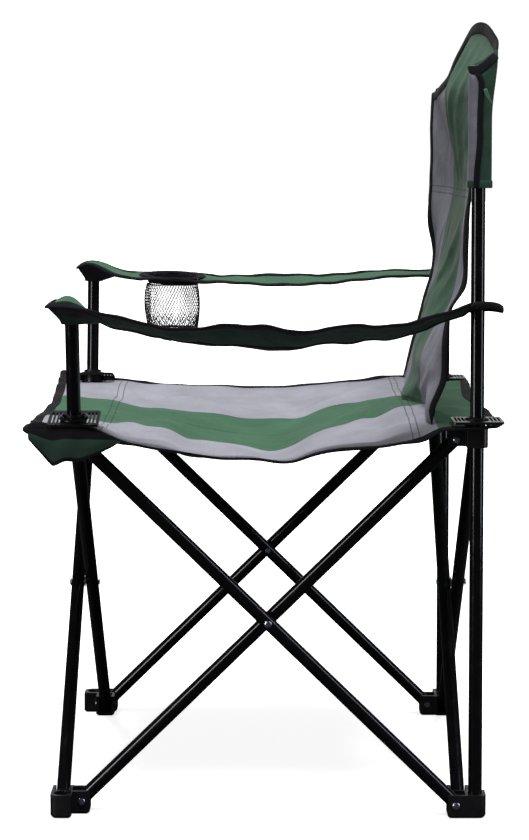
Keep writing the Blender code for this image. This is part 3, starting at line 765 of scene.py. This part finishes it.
def build_flap(side):
    """The reinforced corner that hangs outside a front bracket, under the seat's side hem."""
    low_y, low_z = zip(*FLAP_LOWER)
    y = np.interp(np.linspace(0, 1, 31), np.linspace(0, 1, len(low_y)), low_y)
    bottom = np.interp(y, low_y, low_z)
    top = eased([(-0.275, 0.4505), (-0.25, 0.452), (-0.21, 0.4515), (-0.19, 0.447), (-0.166, 0.4378)], y)
    t = np.linspace(0, 1, 13)[:, None]
    z = top + (bottom - top) * t
    belly = 0.003 * np.sin(math.pi * t) - 0.004 * t
    x = 0.2625 + belly + 0.0016 * np.sin(y * 190 + t * 2.5) * t + 0 * z
    points = np.stack([side * x, np.broadcast_to(y, z.shape), z], -1)
    uvs = uv_pairs(y, 0.034 * t, z.shape)
    name = f"{SIDE_NAME[side]}_corner_flap"
    # The flap is the darker shaded green, which is painted shade.
    made = grid_sheet(name, points, uvs, [SHADED_CLOTH_GREEN, BINDING], lambda a, b: int(b < 0.012))
    body = BRACKET_BODY[side]
    outward = np.tile([side, 0.0, 0.0], (len(y), 1))
    inner = points[-2] + (points[-3] - points[-2]) * 0.2
    hem = binding(f"{name}_hem", points[-1], inner, outward, 9, proud=0.0008, pucker=0.0003)
    for piece, slot in ((made, "seat_fabric"), (hem, "arm_fabric")):
        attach(piece, body)


for side in (1, -1):
    build_flap(side)


# ---------------------------------------------------------------- back

BACK_HALF = 0.2235
BACK_FOOT = 0.46
FAR_SIDE = tenths(
    (4400, 1830), (5000, 1930), (5300, 2000), (5700, 2130), (6000, 2240), (6310, 2292), (6510, 2264), (6710, 2223),
    (6910, 2200), (7200, 2210), (7520, 2212), (7920, 2208), (8400, 2234),
)
FAR_EDGE = tenths(
    (4400, 1700), (4576, 1733), (4834, 1822), (5220, 1885), (5480, 1965), (5734, 2003), (5990, 2107), (6160, 2185),
    (6290, 2203), (6500, 2246), (6720, 2288), (6930, 2341), (7200, 2390), (7460, 2378), (7715, 2352), (7970, 2330),
    (8300, 2305), (8640, 2320),
)
MIDDLE = tenths(
    (4400, 1640), (4664, 1683), (4915, 1769), (5290, 1840), (5540, 1930), (5800, 1990), (6060, 2100), (6400, 2200),
    (6700, 2270), (7000, 2330), (7200, 2360), (7500, 2340), (7800, 2310), (8000, 2275), (8270, 2245), (8640, 2262),
)
NEAR_EDGE = tenths(
    (4400, 1855), (4750, 1868), (4910, 1847), (5030, 1812), (5150, 1816), (5300, 1873), (5440, 1945), (5565, 2017),
    (5800, 2180), (5970, 2240), (6330, 2290), (6665, 2322), (6870, 2362), (7170, 2400), (7530, 2404), (7890, 2416),
    (8300, 2424), (8640, 2430),
)
NEAR_SIDE = tenths(
    (4400, 1810), (4700, 1838), (4807, 1872), (4900, 1915), (4992, 1960), (5130, 1975), (5420, 1976), (5560, 1984),
    (5710, 2010), (5900, 2080), (6000, 2160), (6110, 2235), (6230, 2262), (6510, 2250), (6850, 2262), (7080, 2285),
    (7330, 2304), (7480, 2326), (7780, 2356), (8070, 2379), (8220, 2379), (8340, 2364), (8450, 2319),
)
TOP_Z = tenths(
    (-2235, 8400), (-1500, 8520), (-1000, 8690), (-650, 8930), (-350, 9130), (0, 9215), (500, 9175), (800, 9093),
    (1100, 8999), (1500, 8874), (1800, 8722), (2235, 8579),
)
TOP_Y = tenths(
    (-2235, 2234), (-1500, 2270), (-1000, 2345), (-650, 2410), (-350, 2500), (0, 2561), (500, 2640), (800, 2675),
    (1100, 2690), (1500, 2665), (1800, 2600), (2235, 2335),
)
BACK_CREASES = [
    (-10, 912, -52, 790, 1.0), (30, 905, -12, 775, 1.0), (62, 898, 34, 800, 0.8), (-46, 880, -66, 735, 0.7),
    (-4, 840, -30, 690, 0.9), (30, 820, 12, 705, 0.8), (60, 800, 52, 700, 0.6), (10, 890, 12, 820, -0.9),
    (72, 690, 10, 625, 1.0), (50, 665, -30, 585, 1.1), (78, 645, 20, 575, 0.9), (-20, 690, -70, 600, -0.8),
    (35, 620, -55, 540, -0.9), (70, 590, -10, 510, 0.9), (-90, 680, -150, 610, 0.8), (130, 600, 90, 520, 0.9),
    (180, 560, 120, 500, -0.8), (-120, 560, -30, 490, 0.8), (150, 500, 60, 475, 0.8), (-170, 640, -110, 540, -0.7),
    (120, 690, 100, 610, 0.8),
]


def build_back():
    u = with_stripe(BACK_HALF, 19, 13)
    share = np.concatenate([np.linspace(0, 0.972, 58), [0.986, 1.0]])
    uu, tt = np.meshgrid(u, share)
    drawn = smooth((tt - 0.8) / 0.18) * smooth((uu + 0.03) / 0.12) * smooth((BACK_HALF - uu) / 0.12)
    uu0, uu = uu, uu + 0.052 * drawn  # the cloth's top is pulled round the left upright
    top = eased(TOP_Z, uu)
    foot = seat_level(uu, BACK_FOOT_Y + 0 * uu) + 0.001
    z = foot + tt * (top - foot)
    lines = [eased(p, z) for p in (FAR_SIDE, FAR_EDGE, MIDDLE, NEAR_EDGE, NEAR_SIDE)]
    y = across([-0.2135, -STRIPE, 0.0, STRIPE, 0.2135], lines, uu)
    y = y + (eased(TOP_Y, uu) - y) * smooth((z - 0.838) / np.maximum(top - 0.838, 0.004))
    y = y - creased(uu, z, BACK_CREASES, 0.006, 0.0042)
    curl = smooth((np.abs(uu) - 0.209) / 0.0145)
    near_curl = 0.0012 + 0.0048 * smooth((z - 0.7) / 0.04) + 0.0048 * smooth((0.585 - z) / 0.03)
    y = y + curl * np.where(uu > 0, near_curl, -0.0035 - 0.004 * gauss((z - 0.66) / 0.03))
    points = np.stack([uu, y, z], -1)
    points[..., 1] += roughened(points, 0.05, 0.0024, 11) * (1 - gauss((z - 0.715) / 0.012))
    pinned = ((np.abs(uu) > 0.205) & (z > 0.7)) | (z < 0.463)
    points = settle("back_cloth", points, pinned.astype(float), frames=16, cap=0.0018, grow=0.01)
    uvs = np.stack([uu0, z - BACK_FOOT], -1)
    # The back's rear face gets the darker shaded green, which is painted shade.
    made = grid_sheet(
        "back_cloth", points, uvs, [BACK_GREY, BACK_GREEN, SHADED_CLOTH_GREEN], lambda a, b: int(abs(a) < STRIPE), under=2
    )
    normals = -grid_normals(points)
    pieces = [made]
    last = len(u) - 1
    for name, rows, cols in (
        ("back_top_hem", [len(share) - 1] * len(u), range(len(u))),
        ("back_left_hem", range(len(share)), [last] * len(share)),
        ("back_right_hem", range(len(share)), [0] * len(share)),
    ):
        pieces.append(bind_rim(name, points, normals, rows, cols, 14 + len(pieces)))
    for piece in pieces:
        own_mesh(piece)
        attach(piece, "root")
    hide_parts("back")


SLEEVE_LOW = 0.722


def build_sleeve(side):
    """The pocket of cloth at the back's top corner that the upright stands in."""
    loop = [
        (-0.0128, -0.006), (-0.0085, -0.0108), (0.0, -0.0118), (0.0085, -0.0106), (0.0126, -0.006),
        (0.0128, 0.0), (0.0122, 0.0045), (0.01, 0.0085), (0.006, 0.0118), (0.0015, 0.0134),
        (-0.0015, 0.0134), (-0.006, 0.0118), (-0.01, 0.0085), (-0.0122, 0.0045), (-0.013, 0.0),
    ]
    heights = np.concatenate([np.linspace(SLEEVE_LOW, 0.846, 24), [0.85, 0.854, 0.857, 0.859]])
    fall = 0.0 if side > 0 else 0.0065  # the right corner of the back is lower
    rings = []
    for z in heights:
        close = 1 - smooth((z - 0.848) / 0.011) * 0.96
        sag = 0.0009 * math.sin(z * 95) + 0.0005 * math.sin(z * 210 + 1)
        rise = smooth((z - 0.8) / 0.055)
        ring = []
        for dx, dy in loop:
            back = max(dy, 0.0) / 0.0134
            out = math.copysign(sag * (dy > 0.004), dx)
            y = LEG + dy + back * (0.0012 + 0.0065 * rise)
            tall = (z - 0.8) / 0.059 * back * (0.021 if side > 0 else 0.01) if z > 0.8 else 0.0
            dip = fall * (1.0 + max(-dy, 0.0) / 0.0118)
            ring.append((side * (LEG + (dx + out) * close), y, z + tall - dip * smooth((z - SLEEVE_LOW) / 0.1)))
        rings.append(ring)
    points = np.array(rings)
    count = len(loop)
    uvs = uv_pairs(np.linspace(0, 0.075, count), points[..., 2], points.shape[:2])
    faces = grid_faces(len(rings), count, wrap=True)
    picks = [int(f[0] % count in (0, 1, 2, 3, 4, 14)) for f in faces] + [0]  # its front belongs to the grey panel
    faces.append(tuple((len(rings) - 1) * count + k for k in range(count)))
    name = f"{SIDE_NAME[side]}_sleeve_cloth"
    # The sleeve's cloth and its mouth hem are the darker shaded green, which is painted shade.
    made = new_object(name, points, faces, uvs, [SHADED_CLOTH_GREEN, BACK_GREY], picks)
    thicken(made, CLOTH)

    def tape(label, run, width, finish, thick):
        tape_uv = uv_pairs(np.linspace(0, width, run.shape[1]), strip_steps(run[:, 0])[:, None], run.shape[:2])
        return grid_sheet(f"{SIDE_NAME[side]}_{label}", run, tape_uv, [finish], thickness=thick)

    out = np.array([side * 0.0013, 0.0, 0.0])
    shares = np.linspace(0, 1, 4)
    front = np.stack([points[:, 4] * (1 - s) + points[:, 5] * s for s in shares], axis=1) + out
    front[:, 1:3, 0] += side * 0.0012
    level = front[:, :1, 2]
    start = LEG - 0.0026 - 0.005 * smooth((0.785 - level) / 0.05) - 0.006 * smooth((level - 0.842) / 0.012)
    front[..., 1] = start + 0.0072 * shares + 0.0008 * np.sin(level * 60 + 1)
    band = tape("sleeve_hem", front[:26], 0.011, BINDING, 0.0012)
    rim = points[-4]
    path = rim[2:10].copy()
    path[:, 0] = side * (np.abs(path[:, 0]) + 0.0012)
    low = path + np.array([0.0, 0.001, -0.0005])
    high = path + np.array([0.0, -0.0015, 0.0098])
    high[:, 0] -= side * 0.0085
    top = np.stack([low * (1 - s) + high * s + out * math.sin(math.pi * s) for s in shares], axis=1)
    crown = tape("sleeve_top_hem", top, 0.011, BINDING, 0.0013)
    mouth = points[0]
    grow = np.stack([np.sign(mouth[:, 0] - side * LEG), np.sign(mouth[:, 1] - LEG), 0 * mouth[:, 0]], -1) * 0.0009
    wrap = np.stack([mouth + grow + np.array([0, 0, h]) for h in (0.0, 0.0045, 0.009)])
    wrap = np.concatenate([wrap, wrap[:, :1]], axis=1)
    foot = tape("sleeve_mouth_hem", wrap, 0.075, SHADED_CLOTH_GREEN, 0.0011)
    for piece in (made, band, crown, foot):
        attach(piece, UPRIGHT_BODY[side])
    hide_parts(f"{SIDE_NAME[side]}_sleeve")


def build_tag():
    """A loose corner of cloth that stands out of the left sleeve."""
    a, b, c = np.array((0.2516, 0.2388, 0.8325)), np.array((0.256, 0.2453, 0.8342)), np.array((0.2525, 0.2512, 0.8169))
    rows = [[a * (1 - s) + b * s for s in np.linspace(0, 1, 5)]]
    for t in np.linspace(0.25, 1, 4):
        rows.append([(a * (1 - s) + b * s) * (1 - t) + c * t for s in np.linspace(0, 1, 5)])
    points = np.array(rows)
    points[-1] += np.linspace(-0.0004, 0.0004, 5)[:, None]
    # Its much lighter green is a painted highlight.
    made = grid_sheet("left_sleeve_tag", points, points[..., 1:].copy(), [TAG_PAINTED_HIGHLIGHT], thickness=0.0006)
    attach(made, "root")


build_back()
for side in (1, -1):
    build_sleeve(side)
build_tag()


# ---------------------------------------------------------------- arms

ARM_REAR, ARM_SPLIT = 0.2285, 0.0895
ARM_MIDDLE, ARM_HALF = 0.2745, 0.036
ARM_OUTER = {
    1: tenths(
        (-2475, 5910), (-2401, 5922), (-2313, 5925), (-2180, 5918), (-2038, 5898), (-1851, 5860), (-1620, 5825),
        (-1301, 5750), (-1047, 5700), (-584, 5727), (-232, 5750), (-22, 5733), (231, 5683), (457, 5652),
        (644, 5709), (936, 5742), (1344, 5735), (1674, 5794), (2010, 5870), (2300, 5945),
    ),
    -1: tenths(
        (-2620, 6050), (-2548, 6095), (-2437, 6115), (-2299, 6085), (-2161, 6030), (-1981, 5979), (-1635, 5968),
        (-942, 5951), (-388, 5929), (133, 5955), (651, 5940), (1435, 5995), (2300, 6030),
    ),
}
ARM_INNER = {
    1: tenths(
        (-2475, 5890), (-2250, 5900), (-2080, 5825), (-1930, 5715), (-1669, 5635), (-1340, 5576), (-1079, 5515),
        (-659, 5462), (-318, 5447), (68, 5413), (363, 5428), (533, 5469), (749, 5491), (965, 5491), (1176, 5525),
        (1476, 5542), (1731, 5627), (2071, 5739), (2300, 5820),
    ),
    -1: tenths(
        (-2620, 6040), (-2437, 6110), (-2300, 6060), (-2110, 5965), (-1934, 5930), (-1596, 5908), (-920, 5881),
        (-379, 5873), (-73, 5845), (892, 5873), (1649, 5955), (2300, 5975),
    ),
}
ARM_TIP = {1: -0.2465, -1: -0.26}
CUP_X, CUP_Y, CUP_R = -0.2745, -0.131, 0.0375


def arm_point(side, w, y):
    """A point of an arm strap: w from -1 at the inner hem to 1 at the outer one."""
    share = (w + 1) / 2
    low, high = eased(ARM_INNER[side], y), eased(ARM_OUTER[side], y)
    z = low + (high - low) * (0.62 * share + 0.38 * share * share)
    z = z + (0.0125 if side > 0 else 0.005) * gauss((y + 0.222) / 0.018) * (1 - w * w)
    rear = smooth((y - 0.15) / 0.08)
    front = smooth((-0.215 - y) / 0.04)
    middle = ARM_MIDDLE - 0.024 * rear
    half = ARM_HALF - 0.0135 * rear - 0.012 * front * front
    return np.stack([side * (middle + w * half), y + 0 * w, z], -1)


def build_arm(side):
    name = f"{SIDE_NAME[side]}_arm"
    edge = HEM / ARM_HALF
    w = np.concatenate([[-1, -1 + edge / 2], np.linspace(-1 + edge, 1 - edge, 11), [1 - edge / 2, 1]])
    tip = ARM_TIP[side]
    inner = np.linspace(tip + HEM, ARM_REAR - HEM, 74)
    y = np.concatenate([[tip, tip + HEM / 2], inner, [ARM_REAR - HEM / 2, ARM_REAR]])
    ww, yy = np.meshgrid(w, y)
    points = arm_point(side, ww, yy)
    calm = smooth((ARM_REAR - yy) / 0.03) * smooth((yy + 0.2) / 0.03)
    points[..., 2] += roughened(points, 0.03, 0.002 + 0.0006 * side, 20 + side) * calm
    points[..., 2] += 0.0008 * np.sin(yy * 2 * math.pi / 0.045 + ww * 1.6) * (1 - ww * ww * 0.5) * calm
    round_cup = (np.hypot(side * points[..., 0] + CUP_X, yy - CUP_Y) < 0.05) & (side < 0)
    pinned = (yy < -0.19) | (yy > ARM_REAR - 0.004) | round_cup
    points = settle(f"{name}_cloth", points, pinned.astype(float), frames=14, cap=0.0018, grow=0.012)
    uvs = np.stack([ww * ARM_HALF, yy], -1)
    normals = grid_normals(points) * side

    def keep(p):
        return side > 0 or ((p[0] - CUP_X) / 0.0275) ** 2 + ((p[1] - CUP_Y) / 0.0335) ** 2 > 1

    # The underside gets the darker copy of the green, which is painted shade.
    facings = [PLAIN_GREEN, UNDERSIDE_SHADE_GREEN] if side > 0 else [UNDERSIDE_SHADE_GREEN, PLAIN_GREEN]  # the grid faces up, or down
    made = grid_sheet(f"{name}_cloth", points, uvs, facings, keep=keep, under=1)
    last_row, last = len(y) - 1, len(w) - 1
    rows = list(range(last_row, 0, -1)) + [0] * len(w) + list(range(1, last_row + 1))
    cols = [0] * last_row + list(range(len(w))) + [last] * last_row
    hem = bind_rim(f"{name}_hem", points, normals, rows, cols, 22 + side, proud=0.0014, pucker=0.001)
    for piece in (made, hem):
        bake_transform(piece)
    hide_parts(f"{name}_front", f"{name}_rear")


def build_pocket(side):
    """The pocket under an arm's front end that takes the top of its post."""
    dark_rows = 3 if side > 0 else 7
    post_low = post_at(side, 0.57 if side > 0 else 0.5865)
    rings = []
    for t in (0.0, 0.12, 0.26, 0.42, 0.6, 0.78, 0.92, 1.0):
        ring = []
        for a in angles(40):
            y = POST_Y[side] - math.cos(a) * (0.0325 if math.cos(a) > 0 else 0.036)
            y = max(y, ARM_TIP[side] + 0.0015)
            w = math.copysign(abs(math.sin(a)) ** 0.75, math.sin(a)) * 0.985
            edge = arm_point(side, np.array(w), np.array(y)) + np.array([0, 0, -0.0016])
            around = np.array([side * math.sin(a) * 0.0115, -math.cos(a) * 0.0115, 0])
            neck = post_low + around
            shape = 1 - (1 - t) ** 1.6
            p = edge * (1 - shape) + neck * shape
            p[2] = edge[2] + (neck[2] - edge[2]) * t ** 0.85 + 0.001 * math.sin(5 * a + 3 * t) * math.sin(math.pi * t)
            ring.append(p)
        rings.append(ring)
    # The pocket's cloth is the darker copy of the green, which is painted shade.
    made = ring_sheet(
        f"{SIDE_NAME[side]}_arm_pocket_cloth",
        np.array(rings),
        (0.18, 0.03),
        [UNDERSIDE_SHADE_GREEN, BINDING],
        choose=lambda row: int(row < dark_rows),
    )
    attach(made, BRACKET_BODY[side])


LOOP_PROFILE = [
    (0.0, 0.0), (0.35, 0.0006), (0.7, 0.0004), (0.93, 0.0), (1.0, 0.0018), (1.0, 0.0055), (0.97, 0.0085),
]  # each ring's share of the way out to the rim, and how far it drops
LOOP_TOP = 0.5895


def build_loop(side):
    """The end of an arm strap, with the hole that its upright stands in."""
    rings = []
    for radius_share, drop in LOOP_PROFILE:
        ring = []
        for a in angles(44):
            c, s = math.cos(a), math.sin(a)
            reach_x = 0.0335 if c > 0 else 0.0125
            reach_y = 0.0285 if s > 0 else 0.011
            far = 1 / ((abs(c) / reach_x) ** 2.6 + (abs(s) / reach_y) ** 2.6) ** (1 / 2.6)
            r = 0.0096 + (far - 0.0096) * radius_share
            dx, dy = r * c, r * s
            z = LOOP_TOP + 0.16 * max(dx, -0.006) + 0.0012 * math.sin(3 * a + side) - drop - 0.05 * max(dy - 0.02, 0)
            ring.append((side * (LEG + dx), LEG + dy, z))
        rings.append(ring)
    name = f"{SIDE_NAME[side]}_arm_loop_cloth"
    made = ring_sheet(name, np.array(rings), (0.13, 0.04), [BINDING], thickness=0.0016)
    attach(made, UPRIGHT_BODY[side])


def cup_radius(t, a):
    """Radius of the net at depth share t and angle a, with the slack folds of hanging net."""
    swell = 0.93 + 0.09 * math.sin(math.pi * min(t * 1.05, 1.0)) - 0.03 * t
    ripple = 0.03 * math.sin(3 * a + 1.1 + 1.5 * t) + 0.022 * math.sin(7 * a + 0.4 - 2.0 * t)
    return float(CUP_R * (swell + ripple * smooth(np.array(t / 0.25)) * 0.9))


def cup_point(r, a, z):
    return CUP_X + r * math.cos(a), CUP_Y + r * math.sin(a), z


def build_cup():
    top, bottom = 0.5835, 0.52
    turn = 1.75  # how far the two strands that meet at the rim have parted at the bottom, in radians
    strands = []
    for way in (1, -1):
        for start in angles(58):
            path = []
            for t in np.linspace(0, 1, 22):
                a = start + way * turn * t / 2
                path.append(cup_point(cup_radius(t, a), a, top + (bottom - top) * t))
            for t in (0.06, 0.18, 0.36, 0.6, 0.94):
                a = start + way * (turn / 2 + 0.35 * t)
                sag = 0.015 * math.sin(math.pi / 2 * t) ** 0.8 + 0.0012 * math.sin(4 * a)
                path.append(cup_point(cup_radius(1.0, a) * (1 - t), a, bottom - sag))
            strands.append(path)
    for k, start in enumerate(angles(46)):  # the slack net that bunches up round the bottom
        path = []
        for t in np.linspace(0, 1, 7):
            a = start + 0.55 * t * (1 if k % 2 else -1)
            r = cup_radius(0.82 + 0.16 * t, a) * (0.965 + 0.02 * math.sin(k * 1.7))
            path.append(cup_point(r, a, bottom + 0.019 * (1 - t) + 0.002 * math.sin(k * 2.3)))
        strands.append(path)
    net = tubes_along("cup_net", strands, 0.00038, THREAD)
    rings = [
        [cup_point(cup_radius(share, a), a, height) for a in np.linspace(0, 2 * math.pi, 73)[:-1]]
        for height, share in ((bottom + 0.0006, 1.0), (bottom + 0.0022, 1.0), (top - 0.001, 0.0))
    ]
    seams = tubes_along("cup_seams", rings, 0.0008, THREAD, 6, closed=True)
    rings = []
    for share, drop in ((0, 0.0095), (0, 0.005), (0, 0.0005), (0.2, 0), (0.45, 0), (0.7, 0), (1, 0)):
        ring = []
        for a in angles(60):
            x = CUP_X + math.cos(a) * (0.0265 + 0.01 * share)
            y = CUP_Y + math.sin(a) * (0.0335 + 0.0125 * share)
            w = (-x - ARM_MIDDLE) / ARM_HALF
            z = arm_point(-1, np.array(w), np.array(y))[2] + 0.0015 + 0.0012 * math.sin(math.pi * share) - drop
            ring.append((x, y, z))
        rings.append(ring)
    rim = ring_sheet("cup_rim", np.array(rings), (0.2, 0.02), [BINDING], thickness=0.0011)
    for piece, slot in ((net, "netting"), (seams, "netting"), (rim, "arm_fabric")):
        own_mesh(piece)
        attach(piece, "right_arm_fore")
    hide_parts("cup_holder")


for side in (1, -1):
    build_arm(side)
    build_pocket(side)
    build_loop(side)
    name = SIDE_NAME[side]
    lean = Vector((side * math.sin(POST_LEAN), 0, math.cos(POST_LEAN)))
    collar(f"front_{name}_collar", post_at(side, 0.4615), lean, 0.0128, BRACKET_BODY[side])
    collar(f"rear_{name}_collar", (side * LEG, LEG, 0.459), (0, 0, 1), 0.0094, SLIDER_BODY[side])
build_cup()


# ---------------------------------------------------------------- floor, light and camera


def floor():
    mesh = bpy.data.meshes.new("floor")
    mesh.from_pydata([(-30, -30, 0), (30, -30, 0), (30, 30, 0), (-30, 30, 0)], [], [(0, 1, 2, 3)])
    made = bpy.data.objects.new("floor", mesh)
    made.location.z = -0.0004
    bpy.context.scene.collection.objects.link(made)
    look = Look("floor_white", (0.92, 0.92, 0.92), 0.9, Specular_IOR_Level=0.1)
    path = look.node("LightPath").outputs
    seen = path["Is Camera Ray"]
    cast = look.mix(path["Is Glossy Ray"], (0.2, 0.2, 0.2, 1.0), (0.02, 0.02, 0.02, 1.0))
    look.put(
        look.shader,
        {
            "Base Color": look.mix(seen, cast, (0.92, 0.92, 0.92, 1.0)),
            "Emission Color": (1.0, 1.0, 1.0, 1.0),
            "Emission Strength": look.math("MULTIPLY", seen, 0.78),
        },
    )
    mesh.materials.append(look.material)


def aimed(name, kind, place, target, power, colour=(1, 1, 1)):
    data = bpy.data.lights.new(name, kind)
    data.energy, data.color = power, colour
    made = bpy.data.objects.new(name, data)
    made.location = place
    made.rotation_euler = (Vector(target) - Vector(place)).to_track_quat("-Z", "Y").to_euler()
    bpy.context.scene.collection.objects.link(made)
    return made


def softbox(name, place, target, size, power, colour=(1, 1, 1)):
    """A panel that only shows as a reflection."""
    made = aimed(name, "AREA", place, target, power, colour)
    made.data.shape, made.data.size, made.data.size_y = "RECTANGLE", size[0], size[1]
    made.visible_diffuse = made.visible_camera = False


def surroundings(seen, cast, mirrored):
    """A white studio: strengths of what the camera sees, of the light it gives, and of what gloss reflects."""
    world = bpy.data.worlds.new("studio")
    world.use_nodes = True
    tree = world.node_tree
    back = tree.nodes["Background"]
    back.inputs["Color"].default_value = (1, 1, 1, 1)
    path = tree.nodes.new("ShaderNodeLightPath")
    source = None
    for output, level in (("Is Glossy Ray", mirrored), ("Is Camera Ray", seen)):
        step = tree.nodes.new("ShaderNodeMapRange")
        step.inputs["To Min"].default_value = cast
        step.inputs["To Max"].default_value = level
        tree.links.new(path.outputs[output], step.inputs["Value"])
        if source:
            tree.links.new(source, step.inputs["To Min"])
        source = step.outputs["Result"]
    tree.links.new(source, back.inputs["Strength"])
    world.cycles.sampling_method = "NONE"  # so that each kind of ray finds its own strength
    bpy.context.scene.world = world


floor()
surroundings(1.05, 0.26, 0.03)
sky = aimed("sky", "SUN", (0.5, 0.1, 2.6), (0, 0, 0), 4.3)
sky.data.angle = math.radians(36)
sky.visible_glossy = False
softbox("key", (1.25, -1.55, 1.08), (0, 0, 1.08), (0.34, 2.1), 20)
softbox("rim", (0.7, 1.9, 1.25), (0, 0, 1.25), (0.3, 2.45), 15, (0.7, 0.83, 1.0))
softbox("backdrop", (-3.0, 0.0, 1.25), (0, 0, 0.6), (5.0, 1.3), 18)
bpy.context.scene.view_settings.view_transform = "Standard"

camera_data = bpy.data.cameras.new("camera")
camera_data.lens, camera_data.sensor_width = 93.6, 36.0
camera_data.shift_x, camera_data.shift_y = -0.0042, -0.16
camera_data.clip_start, camera_data.clip_end = 0.05, 100
camera = bpy.data.objects.new("camera", camera_data)
camera.location = (2.71, 0.0, 0.765)
camera.rotation_euler = (math.radians(90 - 3.55), 0, math.radians(90))
bpy.context.scene.collection.objects.link(camera)
bpy.context.scene.camera = camera
